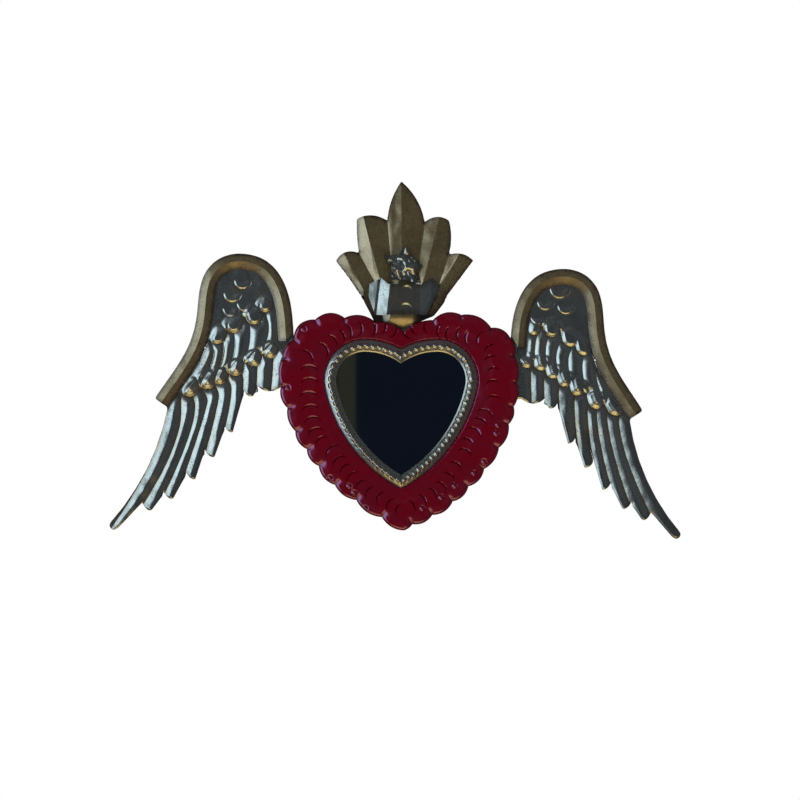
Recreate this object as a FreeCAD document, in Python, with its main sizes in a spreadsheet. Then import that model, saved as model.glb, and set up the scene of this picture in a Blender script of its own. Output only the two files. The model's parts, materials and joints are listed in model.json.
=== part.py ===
import FreeCAD, Part
import math
import os

import Sketcher
from FreeCAD import Placement, Rotation, Vector

# Winged heart wall mirror in sheet tin, hung on a wall by a wire ring.
# Millimetres. +Z is up, the front faces -Y and the wall is the plane y = 0.
# Places across the part are x, heights are z, and depths count forward from the wall.

doc = FreeCAD.newDocument("WingedHeartMirror")

# Driving sizes, in millimetres, degrees and plain counts

SIZES = {
    # Sheet, glass and card
    "tin_thickness": 0.6,
    "glass_thickness": 3.0,
    "card_thickness": 1.4,
    # Heart-shaped opening in front of the glass
    "opening_lobe_x": 29.0,
    "opening_top": 48.2,
    "opening_lobe_radius": 22.7,
    "opening_cleft_radius": 48.6,
    "opening_side_radius": 110.0,
    "opening_sweep": 12.4,
    # Outer heart, through the cusps of its scallops
    "heart_lobe_x": 52.0,
    "heart_top": 77.0,
    "heart_lobe_radius": 42.0,
    "heart_cleft_radius": 165.0,
    "heart_side_radius": 134.0,
    "heart_sweep": 0.0,
    "heart_lip": 1.0,
    "heart_flange": 10.6,
    "heart_inner_slope": 3.6,
    "heart_crest_rise": 4.8,
    "scallop_count": 14,
    "scallop_bulge": 2.0,
    "scallop_roll": 1.6,
    "scallop_roll_rise": 2.4,
    "scallop_shoulder": 4.4,
    "scallop_shoulder_rise": 3.8,
    "scallop_slope": 9.0,
    "cusp_crease": 1.1,
    # Crescents stamped along the crest
    "crescent_count": 24,
    "crescent_chord": 14.5,
    "crescent_margin": 0.8,
    "crescent_depth": 1.0,
    # Half-round bezel strips
    "bezel_width": 10.0,
    "bezel_seam": 0.2,
    # Glass, card and the pan behind them
    "glass_overlap": 4.0,
    "pan_clearance": 1.0,
    # Wings
    "left_wing_inset": 84.0,
    "left_wing_top": 126.4,
    "left_wing_span": 149.6,
    "left_wing_height": 223.0,
    "left_wing_taper_share": 0.0,
    "right_wing_inset": 85.6,
    "right_wing_top": 114.0,
    "right_wing_span": 147.0,
    "right_wing_height": 218.0,
    "right_wing_taper_share": 0.06,
    "root_tab_top_drop": 66.0,
    "root_tab_bottom_drop": 107.0,
    "root_tab_clearance": 1.0,
    "step_run": 2.6,
    "covert_ridge": 4.6,
    "covert_valley": 2.8,
    "quill_ridge": 2.6,
    "quill_valley": 0.8,
    "tip_ridge": 3.2,
    "tip_valley": 0.6,
    "feather_bow": 8.0,
    # Creased strips along the wings
    "rim_width": 12.6,
    "rim_rise": 3.2,
    "rim_margin": 1.0,
    "rim_heart_clearance": 0.6,
    # Crown of flames, its band and its star
    "crown_width": 110.4,
    "crown_height": 118.4,
    "crown_centre_x": 0.8,
    "crown_base": 66.1,
    "flame_knee_ridge": 2.8,
    "flame_tip_ridge": 4.2,
    "band_gap": 0.1,
    "band_fold": 2.6,
    "band_front_fold": 1.0,
    "star_radius": 15.0,
    "star_gap": 0.1,
    "star_rise": 3.4,
    "star_notch_rise": 1.4,
    # Strip that carries the crown
    "strut_width": 16.0,
    "strut_pan_clearance": 0.8336,
    "strut_crown_clearance": 1.0,
    "strut_joggle_run": 2.0,
    "strut_crown_reach": 83.9,
    # Hanger
    "ring_wire_radius": 1.0,
    "ring_half_width": 10.0,
    "ring_corner_radius": 2.5,
    "ring_rise": 15.6,
    "barrel_clearance": 0.05,
    "barrel_length": 10.0,
    "hanger_tail": 9.0,
    # Solder
    "solder_radius": 2.6,
    "solder_height": 0.8,
    # Length added to tools that cut right through
    "overrun": 5.0,
}

sizes = doc.addObject("Spreadsheet::Sheet", "Sizes")
for row, (alias, number) in enumerate(SIZES.items(), start=1):
    sizes.set(f"A{row}", alias)
    sizes.set(f"B{row}", str(number))
    sizes.setAlias(f"B{row}", alias)
doc.recompute()


def size(alias):
    return float(sizes.get(alias))


def worked_out(formula):
    """Value of a formula on the sheet's sizes."""
    return float(sizes.evalExpression(formula))


TIN = size("tin_thickness")
OVERRUN = size("overrun")

# Depths forward of the wall. The pan holds its own plate, the card and the glass.
PAN_DEPTH = size("glass_thickness") + size("card_thickness") + TIN
WING_FRONT = PAN_DEPTH
HEART_FRONT = PAN_DEPTH + TIN
CROWN_FRONT = PAN_DEPTH

# Places along outlines, as shares of the piece they belong to.
# On a wing the first share runs from its inner edge to its tip and the second from top to tip.
RIM_LINE_SHARES = [
    (0.722, 0.534), (0.647, 0.462), (0.556, 0.366), (0.500, 0.265), (0.481, 0.165), (0.444, 0.075),
    (0.377, 0.036), (0.283, 0.027), (0.182, 0.048), (0.102, 0.115), (0.064, 0.211), (0.053, 0.312),
]
COVERT_LINE_SHARES = [
    (0.112, 0.197), (0.160, 0.211), (0.235, 0.244), (0.332, 0.280), (0.417, 0.319), (0.519, 0.380),
]
QUILL_LINE_SHARES = [
    (0.096, 0.358), (0.228, 0.399), (0.316, 0.430), (0.402, 0.459),
    (0.474, 0.484), (0.578, 0.513), (0.650, 0.528),
]
FEATHER_WIDTH_SHARES = [0.15, 0.15, 0.15, 0.15, 0.12, 0.10, 0.09, 0.09]
FEATHER_TIP_SHARES = [
    (0.144, 0.493), (0.243, 0.513), (0.345, 0.643), (0.444, 0.731),
    (0.545, 0.810), (0.668, 0.880), (0.786, 0.921), (0.992, 0.996),
]
FEATHER_CUSP_SHARES = [
    (0.209, 0.472), (0.278, 0.488), (0.382, 0.615), (0.489, 0.698),
    (0.588, 0.780), (0.709, 0.850), (0.821, 0.890), (1.000, 0.968),
]
FEATHER_INNER_SHARE = 0.088
# Depth of a feather's round end as a share of half its width, at most
ROUND_END_SHARE = 0.8
# Where the rows of feathers end against the rim, as shares of the rim's length from its outer end
RIM_ROW_SHARES = [0.25, 0.20, 0.185, 0.035, 0.005]
SHOULDER_INNER_SHARE = 0.87

# On the crown the first share is of its width from its axis and the second of its height.
# Each fold line has its base, knee, notch and top.
CROWN_FOLD_SHARES = [
    [(-0.210, -0.018), (-0.283, 0.212), (-0.486, 0.462), (-0.522, 0.455)],
    [(-0.167, -0.018), (-0.280, 0.266), (-0.428, 0.530), (-0.442, 0.564)],
    [(-0.123, -0.018), (-0.193, 0.314), (-0.312, 0.516), (-0.362, 0.786)],
    [(-0.080, -0.018), (-0.162, 0.347), (-0.239, 0.604), (-0.293, 0.807)],
    [(-0.043, -0.018), (-0.083, 0.489), (-0.107, 0.739), (-0.112, 1.077)],
    [(0.000, -0.018), (0.003, 0.550), (0.000, 0.773), (-0.004, 1.077)],
    [(0.051, -0.018), (0.121, 0.455), (0.164, 0.726), (0.174, 1.077)],
    [(0.094, -0.018), (0.168, 0.361), (0.232, 0.591), (0.290, 0.820)],
    [(0.138, -0.018), (0.270, 0.300), (0.337, 0.505), (0.399, 0.793)],
    [(0.181, -0.018), (0.293, 0.307), (0.420, 0.516), (0.464, 0.564)],
    [(0.246, -0.018), (0.319, 0.219), (0.522, 0.472), (0.580, 0.482)],
]
# Each arc of the crown's outline has its start and a place that it passes through.
CROWN_ARC_SHARES = [
    [(-0.199, 0.047), (-0.326, 0.266)], [(-0.480, 0.462), (-0.428, 0.513)],
    [(-0.312, 0.516), (-0.326, 0.631)], [(-0.327, 0.746), (-0.217, 0.770)],
    [(-0.107, 0.736), (-0.076, 0.874)], [(-0.005, 1.000), (0.105, 0.881)],
    [(0.165, 0.726), (0.261, 0.761)], [(0.341, 0.736), (0.357, 0.631)],
    [(0.337, 0.505), (0.449, 0.506)], [(0.517, 0.466), (0.384, 0.280)],
]
# The crown is flat up to this share of its height, where the heart covers it
CROWN_FLAT_SHARE = 0.09
CROWN_FOOT_SHARES = [(0.232, 0.091), (0.000, 0.000), (-0.199, 0.047)]
BAND_TOP_SHARES = [
    (-0.268, 0.295), (-0.149, 0.347), (-0.101, 0.307), (0.152, 0.303), (0.220, 0.347), (0.278, 0.280),
]
BAND_BOTTOM_SHARES = [
    (-0.197, 0.099), (-0.130, 0.096), (-0.052, 0.107), (0.080, 0.107), (0.130, 0.097), (0.177, 0.099),
]
STAR_CENTRE_SHARES = (0.026, 0.425)
STAR_TIP_TURNS = [92.0, 156.0, 218.0, 313.0, 364.0]
STAR_TIP_SHARES = [1.04, 1.22, 1.02, 1.10, 0.84]
STAR_NOTCH_SHARE = 0.48
# Crescents run along each half of the crest, as shares of the way from cleft to tip
CRESCENT_SPAN_SHARES = (0.025, 0.93)
# Sag of a crescent's outer edge, bottom and inner edge, as shares of its chord
CRESCENT_SAG_SHARES = (0.38, 0.29, 0.20)
CRESCENT_CHORDS = 4
# Straight chords that stand for a curve: a scallop, half the opening, the bezel's half-round,
# a rim, a round end of a feather or flame, and the ring's bends, bow and section
SCALLOP_CHORDS = 4
OPENING_CHORDS = 40
BEZEL_CHORDS = 5
RIM_CHORDS = 20
ROUND_CHORDS = 6
BEND_CHORDS = 4
BOW_CHORDS = 16
WIRE_SIDES = 8
# Solder lies along the lower part of the pan's outline, clear of the root tabs
PAN_SOLDER_SHARES = [0.6, 0.7, 0.8, 0.9]
SOLDER_SIDES = 8
SOLDER_TOP_SHARE = 0.5


# Shared helpers

def at(x, z, forward=0.0):
    """Point at a place across the front and a depth forward of the wall."""
    return Vector(x, -forward, z)


def part_feature(label, shape):
    feature = doc.addObject("Part::Feature", label)
    feature.Label = label
    feature.Shape = shape
    feature.Placement = Placement()
    return feature


def line(start, end):
    return Part.LineSegment(start, end).toShape()


def arc(start, through, end):
    return Part.Arc(start, through, end).toShape()


def chorded_arc(start, through, end):
    """Arc as a run of short straight edges."""
    points = arc(start, through, end).discretize(Number=ROUND_CHORDS + 1)
    return [line(*pair) for pair in zip(points, points[1:])]


def spline(points):
    curve = Part.BSplineCurve()
    curve.interpolate(points)
    return curve


def prism(wire, back, front):
    """Solid with a flat outline, from one depth to another."""
    face = Part.Face(wire)
    return face.translated(at(0, 0, back)).extrude(at(0, 0, front - back))


def ring_faces(outer, inner):
    """Flat faces between two outlines."""
    return Part.Face(outer).cut(Part.Face(inner)).Faces


def solid_from(faces):
    """Closed solid sewn from faces that meet edge to edge."""
    hull = Part.makeShell(faces)
    hull.sewShape()
    solid = Part.makeSolid(hull)
    if solid.Volume < 0:
        solid.reverse()
    return solid


def sheet_from(skin_faces):
    """Sheet of tin behind a front skin: the skin, its copy one thickness back, and the cut edges."""
    skin = Part.makeShell(skin_faces)
    skin.sewShape()
    inward = Vector(0, TIN, 0)
    back = skin.translated(inward)
    walls = [edge.extrude(inward) for edge in skin.getFreeEdges().Edges]
    return solid_from(skin.Faces + back.Faces + walls)


def flat_faces(corners):
    """One flat face where the corners lie in a plane, and otherwise two triangles."""
    kept = [point for index, point in enumerate(corners) if not point.isEqual(corners[index - 1], 1e-6)]
    if len(kept) < 3:
        return []
    if len(kept) == 4:
        normal = (kept[1] - kept[0]).cross(kept[2] - kept[0]).normalize()
        if abs(normal.dot(kept[3] - kept[0])) > 1e-7:
            return flat_faces(kept[:3]) + flat_faces([kept[0], kept[2], kept[3]])
    return [Part.Face(Part.makePolygon(kept + kept[:1]))]


def folded_skin(rows):
    """Flat faces between neighbouring points of a grid. Points that coincide make a triangle."""
    faces = []
    for upper, lower in zip(rows, rows[1:]):
        for column in range(len(upper) - 1):
            faces += flat_faces([upper[column], upper[column + 1], lower[column + 1], lower[column]])
    return faces


# Hearts: each half is a cleft arc, a lobe arc and a side arc, tangent to each other

class Heart:
    def __init__(self, lobe_x, top, lobe_radius, cleft_radius, side_radius, sweep):
        self.lobe_x = lobe_x
        self.lobe_z = top - lobe_radius
        self.lobe_radius = lobe_radius
        self.cleft_z = top - cleft_radius
        self.cleft_radius = cleft_radius
        self.sweep = math.radians(sweep)
        self.side_x = lobe_x + (lobe_radius - side_radius) * math.cos(self.sweep)
        self.side_z = self.lobe_z - (lobe_radius - side_radius) * math.sin(self.sweep)
        self.side_radius = side_radius

    @classmethod
    def named(cls, name):
        fields = ("lobe_x", "top", "lobe_radius", "cleft_radius", "side_radius", "sweep")
        return cls(*[size(f"{name}_{field}") for field in fields])

    def outward(self, distance):
        """Heart whose whole outline lies a distance outside this one."""
        return Heart(
            self.lobe_x,
            self.lobe_z + self.lobe_radius + distance,
            self.lobe_radius + distance,
            self.cleft_radius + distance,
            self.side_radius + distance,
            math.degrees(self.sweep),
        )

    def arcs(self):
        """Centre, radius, first angle and last angle of the right half's arcs, from cleft to tip."""
        cleft_angle = math.acos(-self.lobe_x / self.cleft_radius)
        tip_angle = -math.acos(-self.side_x / self.side_radius)
        return [
            (self.lobe_x, self.cleft_z, self.cleft_radius, cleft_angle, math.pi / 2),
            (self.lobe_x, self.lobe_z, self.lobe_radius, math.pi / 2, -self.sweep),
            (self.side_x, self.side_z, self.side_radius, -self.sweep, tip_angle),
        ]

    def cleft_height(self, x):
        """Height of the cleft arc at a distance from the middle."""
        return self.cleft_z + math.sqrt(self.cleft_radius ** 2 - (self.lobe_x - x) ** 2)

    def place(self, share):
        """Place on the right half at a share of the way from cleft to tip."""
        arcs = self.arcs()
        travel = share * sum(radius * abs(last - first) for _, _, radius, first, last in arcs)
        for heart_arc in arcs:
            centre_x, centre_z, radius, first, last = heart_arc
            length = radius * abs(last - first)
            if travel <= length or heart_arc == arcs[-1]:
                angle = first + (last - first) * travel / length
                return centre_x + radius * math.cos(angle), centre_z + radius * math.sin(angle)
            travel -= length

    def ring(self, chords, forward):
        """Closed row of points, chords to each half: down the right side and up the left."""
        right = [at(*self.place(step / chords), forward) for step in range(chords + 1)]
        return closed_ring(right)


def closed_ring(right):
    """Row of points down the right half, carried on up the left half to its start."""
    left = [Vector(-point.x, point.y, point.z) for point in reversed(right)]
    return right + left[1:]


OPENING = Heart.named("opening")
OUTER_HEART = Heart.named("heart")
PAN_OFFSET_FORMULA = "(Sizes.glass_overlap + Sizes.pan_clearance + Sizes.tin_thickness)"
PAN_OFFSET = worked_out(PAN_OFFSET_FORMULA)


# Heart frame: a flat flange round the glass, a crest with stamped crescents, and lobes that roll down

def scallop_ring(offset, rise, crease):
    """Row of points an offset inside the cusps, dropped by a crease where the lobes meet."""
    heart = OUTER_HEART.outward(-offset)
    chords = int(size("scallop_count")) * SCALLOP_CHORDS
    right = []
    for step in range(chords + 1):
        drop = 0.0 if step % SCALLOP_CHORDS else crease
        right.append(at(*heart.place(step / chords), HEART_FRONT + rise - drop))
    return closed_ring(right)


def scallop_edge():
    """Lobes bulge outwards from cusp to cusp along the heart's outline."""
    count = int(size("scallop_count"))
    cusps = [at(*OUTER_HEART.place(step / count), HEART_FRONT) for step in range(count + 1)]
    right = []
    for start, end in zip(cusps, cusps[1:]):
        along = (end - start).normalize()
        outward = Vector(-along.z, 0, along.x)
        for chord in range(SCALLOP_CHORDS):
            share = chord / SCALLOP_CHORDS
            bulge = size("scallop_bulge") * math.sin(math.pi * share)
            right.append(start + (end - start) * share + outward * bulge)
    return closed_ring(right + cusps[-1:])


def crescent_rows(inner, outer, travel, side):
    """Outer edge, bottom and inner edge of a stamp across the crest, its bulge towards the cleft."""
    start = at(*inner.place(travel))
    across = at(*outer.place(travel)) - start
    chord = min(size("crescent_chord"), across.Length - 2 * size("crescent_margin"))
    middle = start + across / 2
    across.normalize()
    towards_cleft = Vector(-across.z, 0, across.x)
    crest = HEART_FRONT + size("heart_crest_rise")
    rows = []
    for sag_share, depth in zip(CRESCENT_SAG_SHARES, (0.0, size("crescent_depth"), 0.0)):
        row = []
        for step in range(CRESCENT_CHORDS + 1):
            turn = math.pi * (step / CRESCENT_CHORDS - 0.5)
            point = middle + across * (chord / 2 * math.sin(turn))
            point += towards_cleft * (chord * sag_share * math.cos(turn))
            drop = depth if 0 < step < CRESCENT_CHORDS else 0.0
            row.append(at(side * point.x, point.z, crest - drop))
        rows.append(row)
    return rows


def make_heart_frame():
    crest = HEART_FRONT + size("heart_crest_rise")
    lobes = [
        scallop_edge(),
        scallop_ring(size("scallop_roll"), size("scallop_roll_rise"), size("cusp_crease")),
        scallop_ring(size("scallop_shoulder"), size("scallop_shoulder_rise"), size("cusp_crease")),
        scallop_ring(size("scallop_slope"), size("heart_crest_rise"), 0.0),
    ]
    inner_crest = OPENING.outward(size("heart_flange") + size("heart_inner_slope"))
    flange = OPENING.outward(size("heart_flange"))
    slope = [inner_crest.ring(OPENING_CHORDS, crest), flange.ring(OPENING_CHORDS, HEART_FRONT)]
    outer_crest = OUTER_HEART.outward(-size("scallop_slope"))
    first, last = CRESCENT_SPAN_SHARES
    count = int(size("crescent_count"))
    stamps = []
    for number in range(count):
        travel = first + (last - first) * number / (count - 1)
        for side in (-1, 1):
            stamps.append(crescent_rows(inner_crest, outer_crest, travel, side))
    holes = [Part.Face(Part.makePolygon(slope[0]))]
    for outer_edge, _, inner_edge in stamps:
        holes.append(Part.Face(Part.makePolygon(outer_edge + inner_edge[-2::-1])))
    crest_face = Part.Face(Part.makePolygon(lobes[-1])).cut(holes)
    opening = OPENING.outward(size("heart_lip")).ring(OPENING_CHORDS, HEART_FRONT)
    skin = folded_skin(lobes) + crest_face.Faces + folded_skin(slope)
    skin += ring_faces(Part.makePolygon(slope[1]), Part.makePolygon(opening))
    for rows in stamps:
        skin += folded_skin(rows)
    return part_feature("heart_frame", sheet_from(skin))


# Bezel strips: half-round channel along the opening's outline

def bezel_row(reach, turn):
    """Points along the right half, at one turn round a half-round section with this radius."""
    heart = OPENING.outward(size("bezel_width") / 2 - reach * math.cos(turn))
    forward = HEART_FRONT + reach * math.sin(turn)
    return [at(*heart.place(step / OPENING_CHORDS), forward) for step in range(OPENING_CHORDS + 1)]


def make_bezel(side):
    outer = size("bezel_width") / 2
    turns = [math.pi * chord / BEZEL_CHORDS for chord in range(BEZEL_CHORDS + 1)]
    rows = [bezel_row(outer, turn) for turn in turns]
    rows += [bezel_row(outer - TIN, turn) for turn in reversed(turns)]
    rows.append(rows[0])
    ends = [Part.Face(Part.makePolygon([row[end] for row in rows])) for end in (0, -1)]
    strip = solid_from(folded_skin(rows) + ends)
    reach = size("heart_lobe_x") + size("heart_lobe_radius")
    height = 2 * reach
    keep = Part.makeBox(reach, height, height, at(size("bezel_seam") / 2, -reach, height / 2))
    strip = strip.common(keep)
    if side < 0:
        strip = strip.mirror(Vector(), Vector(1, 0, 0))
    return part_feature("bezel_right" if side > 0 else "bezel_left", strip)


# Flat heart plates, drawn as half a heart and mirrored

def origin_plane(body, role):
    return [feature for feature in body.Origin.OriginFeatures if feature.Role == role][0]


def front_sketch(body, name, depth_formula):
    """Sketch facing the front, a given depth forward of the wall."""
    sketch = body.newObject("Sketcher::SketchObject", name)
    sketch.AttachmentSupport = [(origin_plane(body, "XZ_Plane"), "")]
    sketch.MapMode = "FlatFace"
    sketch.setExpression("AttachmentOffset.Base.z", depth_formula)
    return sketch


def bind(sketch, constraint, formula):
    index = sketch.addConstraint(constraint)
    if formula:
        sketch.setExpression(f"Constraints[{index}]", formula)


def draw_half_heart(sketch, name, heart, offset_formula):
    """Right half of a heart that follows the named heart's sizes at an offset."""
    START, END, CENTRE = 1, 2, 3
    geometry = []
    for centre_x, centre_z, radius, first, last in heart.arcs():
        circle = Part.Circle(Vector(centre_x, centre_z, 0), Vector(0, 0, 1), radius)
        geometry.append(Part.ArcOfCircle(circle, last, first))
    cleft, lobe, flank = sketch.addGeometry(geometry)
    top = heart.cleft_z + math.sqrt(heart.cleft_radius ** 2 - heart.lobe_x ** 2)
    bottom = heart.side_z - math.sqrt(heart.side_radius ** 2 - heart.side_x ** 2)
    axis = sketch.addGeometry(Part.LineSegment(Vector(0, bottom, 0), Vector(0, top, 0)))
    cell = f"Sizes.{name}_"
    link = Sketcher.Constraint
    bind(sketch, link("Coincident", axis, END, cleft, END), None)
    bind(sketch, link("Coincident", axis, START, flank, START), None)
    bind(sketch, link("PointOnObject", axis, END, -2), None)
    bind(sketch, link("PointOnObject", axis, START, -2), None)
    bind(sketch, link("Tangent", cleft, START, lobe, END), None)
    bind(sketch, link("Tangent", lobe, START, flank, END), None)
    bind(sketch, link("DistanceX", -1, 1, lobe, CENTRE, heart.lobe_x), f"{cell}lobe_x")
    bind(sketch, link("DistanceY", -1, 1, lobe, CENTRE, heart.lobe_z), f"{cell}top - {cell}lobe_radius")
    bind(sketch, link("Radius", lobe, heart.lobe_radius), f"{cell}lobe_radius + {offset_formula}")
    bind(sketch, link("DistanceX", -1, 1, cleft, CENTRE, heart.lobe_x), f"{cell}lobe_x")
    bind(sketch, link("Radius", cleft, heart.cleft_radius), f"{cell}cleft_radius + {offset_formula}")
    side_reach = f"({cell}side_radius - {cell}lobe_radius)"
    bind(
        sketch,
        link("DistanceX", flank, CENTRE, lobe, CENTRE, heart.lobe_x - heart.side_x),
        f"{side_reach} * cos({cell}sweep * 1deg)",
    )
    bind(sketch, link("Radius", flank, heart.side_radius), f"{cell}side_radius + {offset_formula}")


def mirrored(body, features):
    mirror = body.newObject("PartDesign::Mirrored", body.Name + "_mirror")
    mirror.Originals = features
    mirror.MirrorPlane = (origin_plane(body, "YZ_Plane"), [""])
    body.Tip = mirror
    return mirror


def make_heart_plate(label, offset, offset_formula, depth_formula, thickness_formula):
    body = doc.addObject("PartDesign::Body", label)
    body.Label = label
    sketch = front_sketch(body, label + "_outline", depth_formula)
    draw_half_heart(sketch, "opening", OPENING.outward(offset), offset_formula)
    pad = body.newObject("PartDesign::Pad", label + "_pad")
    pad.Profile = sketch
    pad.setExpression("Length", thickness_formula)
    doc.recompute()
    return body, pad


def make_mirror_glass():
    body, pad = make_heart_plate(
        "mirror_glass", size("glass_overlap"), "Sizes.glass_overlap",
        "Sizes.tin_thickness + Sizes.card_thickness", "Sizes.glass_thickness",
    )
    mirrored(body, [pad])
    return body


def make_backing_card():
    body, pad = make_heart_plate(
        "backing_card", size("glass_overlap"), "Sizes.glass_overlap",
        "Sizes.tin_thickness", "Sizes.card_thickness",
    )
    mirrored(body, [pad])
    return body


def make_back_pan():
    inner_formula = "Sizes.glass_overlap + Sizes.pan_clearance"
    depth = "Sizes.glass_thickness + Sizes.card_thickness"
    body, pad = make_heart_plate(
        "back_pan", PAN_OFFSET, PAN_OFFSET_FORMULA, "0", f"{depth} + Sizes.tin_thickness",
    )
    sketch = front_sketch(body, "back_pan_hollow", "Sizes.tin_thickness")
    draw_half_heart(sketch, "opening", OPENING.outward(PAN_OFFSET - TIN), inner_formula)
    hollow = body.newObject("PartDesign::Pocket", "back_pan_pocket")
    hollow.Profile = sketch
    hollow.Reversed = True
    hollow.setExpression("Length", f"{depth} + Sizes.overrun")
    doc.recompute()
    mirrored(body, [pad, hollow])
    return body


# Wings: one embossed sheet each, three tiers of creased feathers, and a flat root tab

class Wing:
    """Places on a wing, given as shares of its span and height."""

    def __init__(self, name, side):
        self.side = side
        self.inset = size(f"{name}_inset")
        self.top = size(f"{name}_top")
        self.taper = size(f"{name}_taper_share")
        self.span = size(f"{name}_span")
        self.height = size(f"{name}_height")
        self.rim_curve = spline([self.point(*shares) for shares in RIM_LINE_SHARES])

    def point(self, across, down, rise=0.0):
        x = self.inset + across * self.span * (1 - self.taper * down)
        return at(self.side * x, self.top - down * self.height, WING_FRONT + rise)

    def rim_point(self, share, outward, rise=0.0):
        """Point beside the rim's middle line, at a share of its length from the outer end."""
        first, last = self.rim_curve.FirstParameter, self.rim_curve.LastParameter
        parameter = self.rim_curve.parameterAtDistance(self.rim_curve.length(first, last) * share, first)
        tangent = self.rim_curve.tangent(parameter)[0]
        normal = Vector(-tangent.z, 0, tangent.x) * self.side * -1
        return self.rim_curve.value(parameter) + normal * outward + at(0, 0, rise)

    def bowed(self, start, end, share):
        """Middle of a feather's line, which bows in towards the heart more the further out it lies."""
        return (start + end) / 2 - Vector(self.side * size("feather_bow") * share ** 2, 0, 0)

    def rim_row(self, outward, rise=0.0):
        """Points beside the rim's middle line, from its outer end to its inner one."""
        return [self.rim_point(step / RIM_CHORDS, outward, rise) for step in range(RIM_CHORDS + 1)]


def share_along(curve, share):
    first, last = curve.FirstParameter, curve.LastParameter
    return curve.value(curve.parameterAtDistance(curve.length(first, last) * share, first))


def feather_columns():
    """Shares along a row of feathers of the valleys and ridges between its inner and outer ends."""
    columns = [0.0]
    for width in FEATHER_WIDTH_SHARES:
        columns.append(columns[-1] + width / 2)
        columns.append(columns[-1] + width / 2)
    return columns


def raised(points, valley, ridge):
    """Row of points lifted at its ridges, with both ends left flat."""
    lifted = []
    for column, point in enumerate(points):
        rise = ridge if column % 2 else valley
        if column in (0, len(points) - 1):
            rise = 0.0
        lifted.append(point + at(0, 0, rise))
    return lifted


def wing_rows(wing):
    """Grid of the embossed sheet, from the rim's outer edge down to the feather tips."""
    columns = feather_columns()
    half_rim = size("rim_width") / 2
    inside = -half_rim - size("rim_margin")
    outside = half_rim + OVERRUN
    first_share = RIM_ROW_SHARES[0]
    shoulder_shares = [SHOULDER_INNER_SHARE + (first_share - SHOULDER_INNER_SHARE) * c for c in columns]
    border = [wing.rim_point(share, outside) for share in shoulder_shares]
    shoulder = [wing.rim_point(share, inside) for share in shoulder_shares]
    covert_curve = spline([wing.point(*shares) for shares in COVERT_LINE_SHARES])
    quill_curve = spline([wing.point(*shares) for shares in QUILL_LINE_SHARES])
    coverts = [share_along(covert_curve, column) for column in columns]
    quills = [share_along(quill_curve, column) for column in columns]
    step = Vector(0, 0, -size("step_run"))
    covert_feet = [point + step for point in coverts]
    quill_feet = [point + step for point in quills]
    tips = [wing.point(FEATHER_INNER_SHARE, FEATHER_TIP_SHARES[0][1])]
    for tip, cusp in zip(FEATHER_TIP_SHARES, FEATHER_CUSP_SHARES):
        tips.append(wing.point(*tip))
        tips.append(wing.point(*cusp))
    tips = [tip + (tip - foot).normalize() * OVERRUN for tip, foot in zip(tips, quill_feet)]
    for row, share in zip((coverts, covert_feet, quills, quill_feet), RIM_ROW_SHARES[1:]):
        row[-1] = wing.rim_point(share, inside)
    tips[-1] = tips[-1] + Vector(wing.side * OVERRUN, 0, 0)
    bows = [wing.bowed(foot, tip, column) for foot, tip, column in zip(quill_feet, tips, columns)]
    rows = [
        border,
        shoulder,
        raised(coverts, size("covert_valley"), size("covert_ridge")),
        raised(covert_feet, size("quill_valley"), size("quill_ridge")),
        raised(quills, size("covert_valley"), size("covert_ridge")),
        raised(quill_feet, size("quill_valley"), size("quill_ridge")),
        raised(bows, size("quill_valley"), size("tip_ridge")),
        raised(tips, size("tip_valley"), size("tip_ridge")),
    ]
    root_x = wing.side * (root_tab_x() - OVERRUN)
    outer_shares = [first_share] + RIM_ROW_SHARES
    for index, row in enumerate(rows):
        row.insert(0, Vector(root_x, row[0].y, row[0].z))
        if index < 2:
            row.append(row[-1])
        elif index < len(outer_shares):
            row.append(wing.rim_point(outer_shares[index], outside))
        else:
            row.append(row[-1] + Vector(wing.side * 2 * outside, 0, 0))
    return rows


def root_tab_x():
    """Inner end of the root tabs, just outside the pan."""
    return size("opening_lobe_x") + size("opening_lobe_radius") + PAN_OFFSET + size("root_tab_clearance")


def wing_outline(wing):
    """Outer edge of the rim, the flight feather's straight edge, the round tips and the root tab."""
    half_rim = size("rim_width") / 2
    rim_edge = wing.rim_row(half_rim)
    outer_end = rim_edge[0]
    inner_end = rim_edge[-1]
    quill_curve = spline([wing.point(*shares) for shares in QUILL_LINE_SHARES])
    ridge_shares = feather_columns()[1::2]
    tips = [wing.point(*shares) for shares in FEATHER_TIP_SHARES]
    cusps = [wing.point(*shares) for shares in FEATHER_CUSP_SHARES]
    edges = [line(start, end) for start, end in zip(rim_edge, rim_edge[1:])]
    tab_x = wing.side * root_tab_x()
    tab_top = wing.top - size("root_tab_top_drop")
    tab_bottom = wing.top - size("root_tab_bottom_drop")
    corners = [
        inner_end,
        Vector(inner_end.x, inner_end.y, tab_top) if inner_end.z > tab_top else inner_end,
        Vector(tab_x, inner_end.y, tab_top),
        Vector(tab_x, inner_end.y, tab_bottom),
    ]
    position = corners[-1]
    for start, end in zip(corners, corners[1:]):
        if not start.isEqual(end, 1e-6):
            edges.append(line(start, end))
    for ridge_share, tip, cusp in zip(ridge_shares, tips, cusps):
        along = (tip - share_along(quill_curve, ridge_share)).normalize()
        side_point = mirrored_across(cusp, tip, along)
        middle = (side_point + cusp) / 2
        depth = min((tip - middle).dot(along), (side_point - middle).Length * ROUND_END_SHARE)
        edges.append(line(position, side_point))
        edges += chorded_arc(side_point, middle + along * depth, cusp)
        position = cusp
    notch = wing.rim_point(0.0, -half_rim)
    edges += chorded_arc(position, wing.bowed(position, notch, 1.0), notch)
    edges.append(line(notch, outer_end))
    return Part.Wire(edges)


def mirrored_across(point, foot, direction):
    """Point on the other side of a line through a foot."""
    offset = point - foot
    return foot + direction * (2 * offset.dot(direction)) - offset


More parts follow.
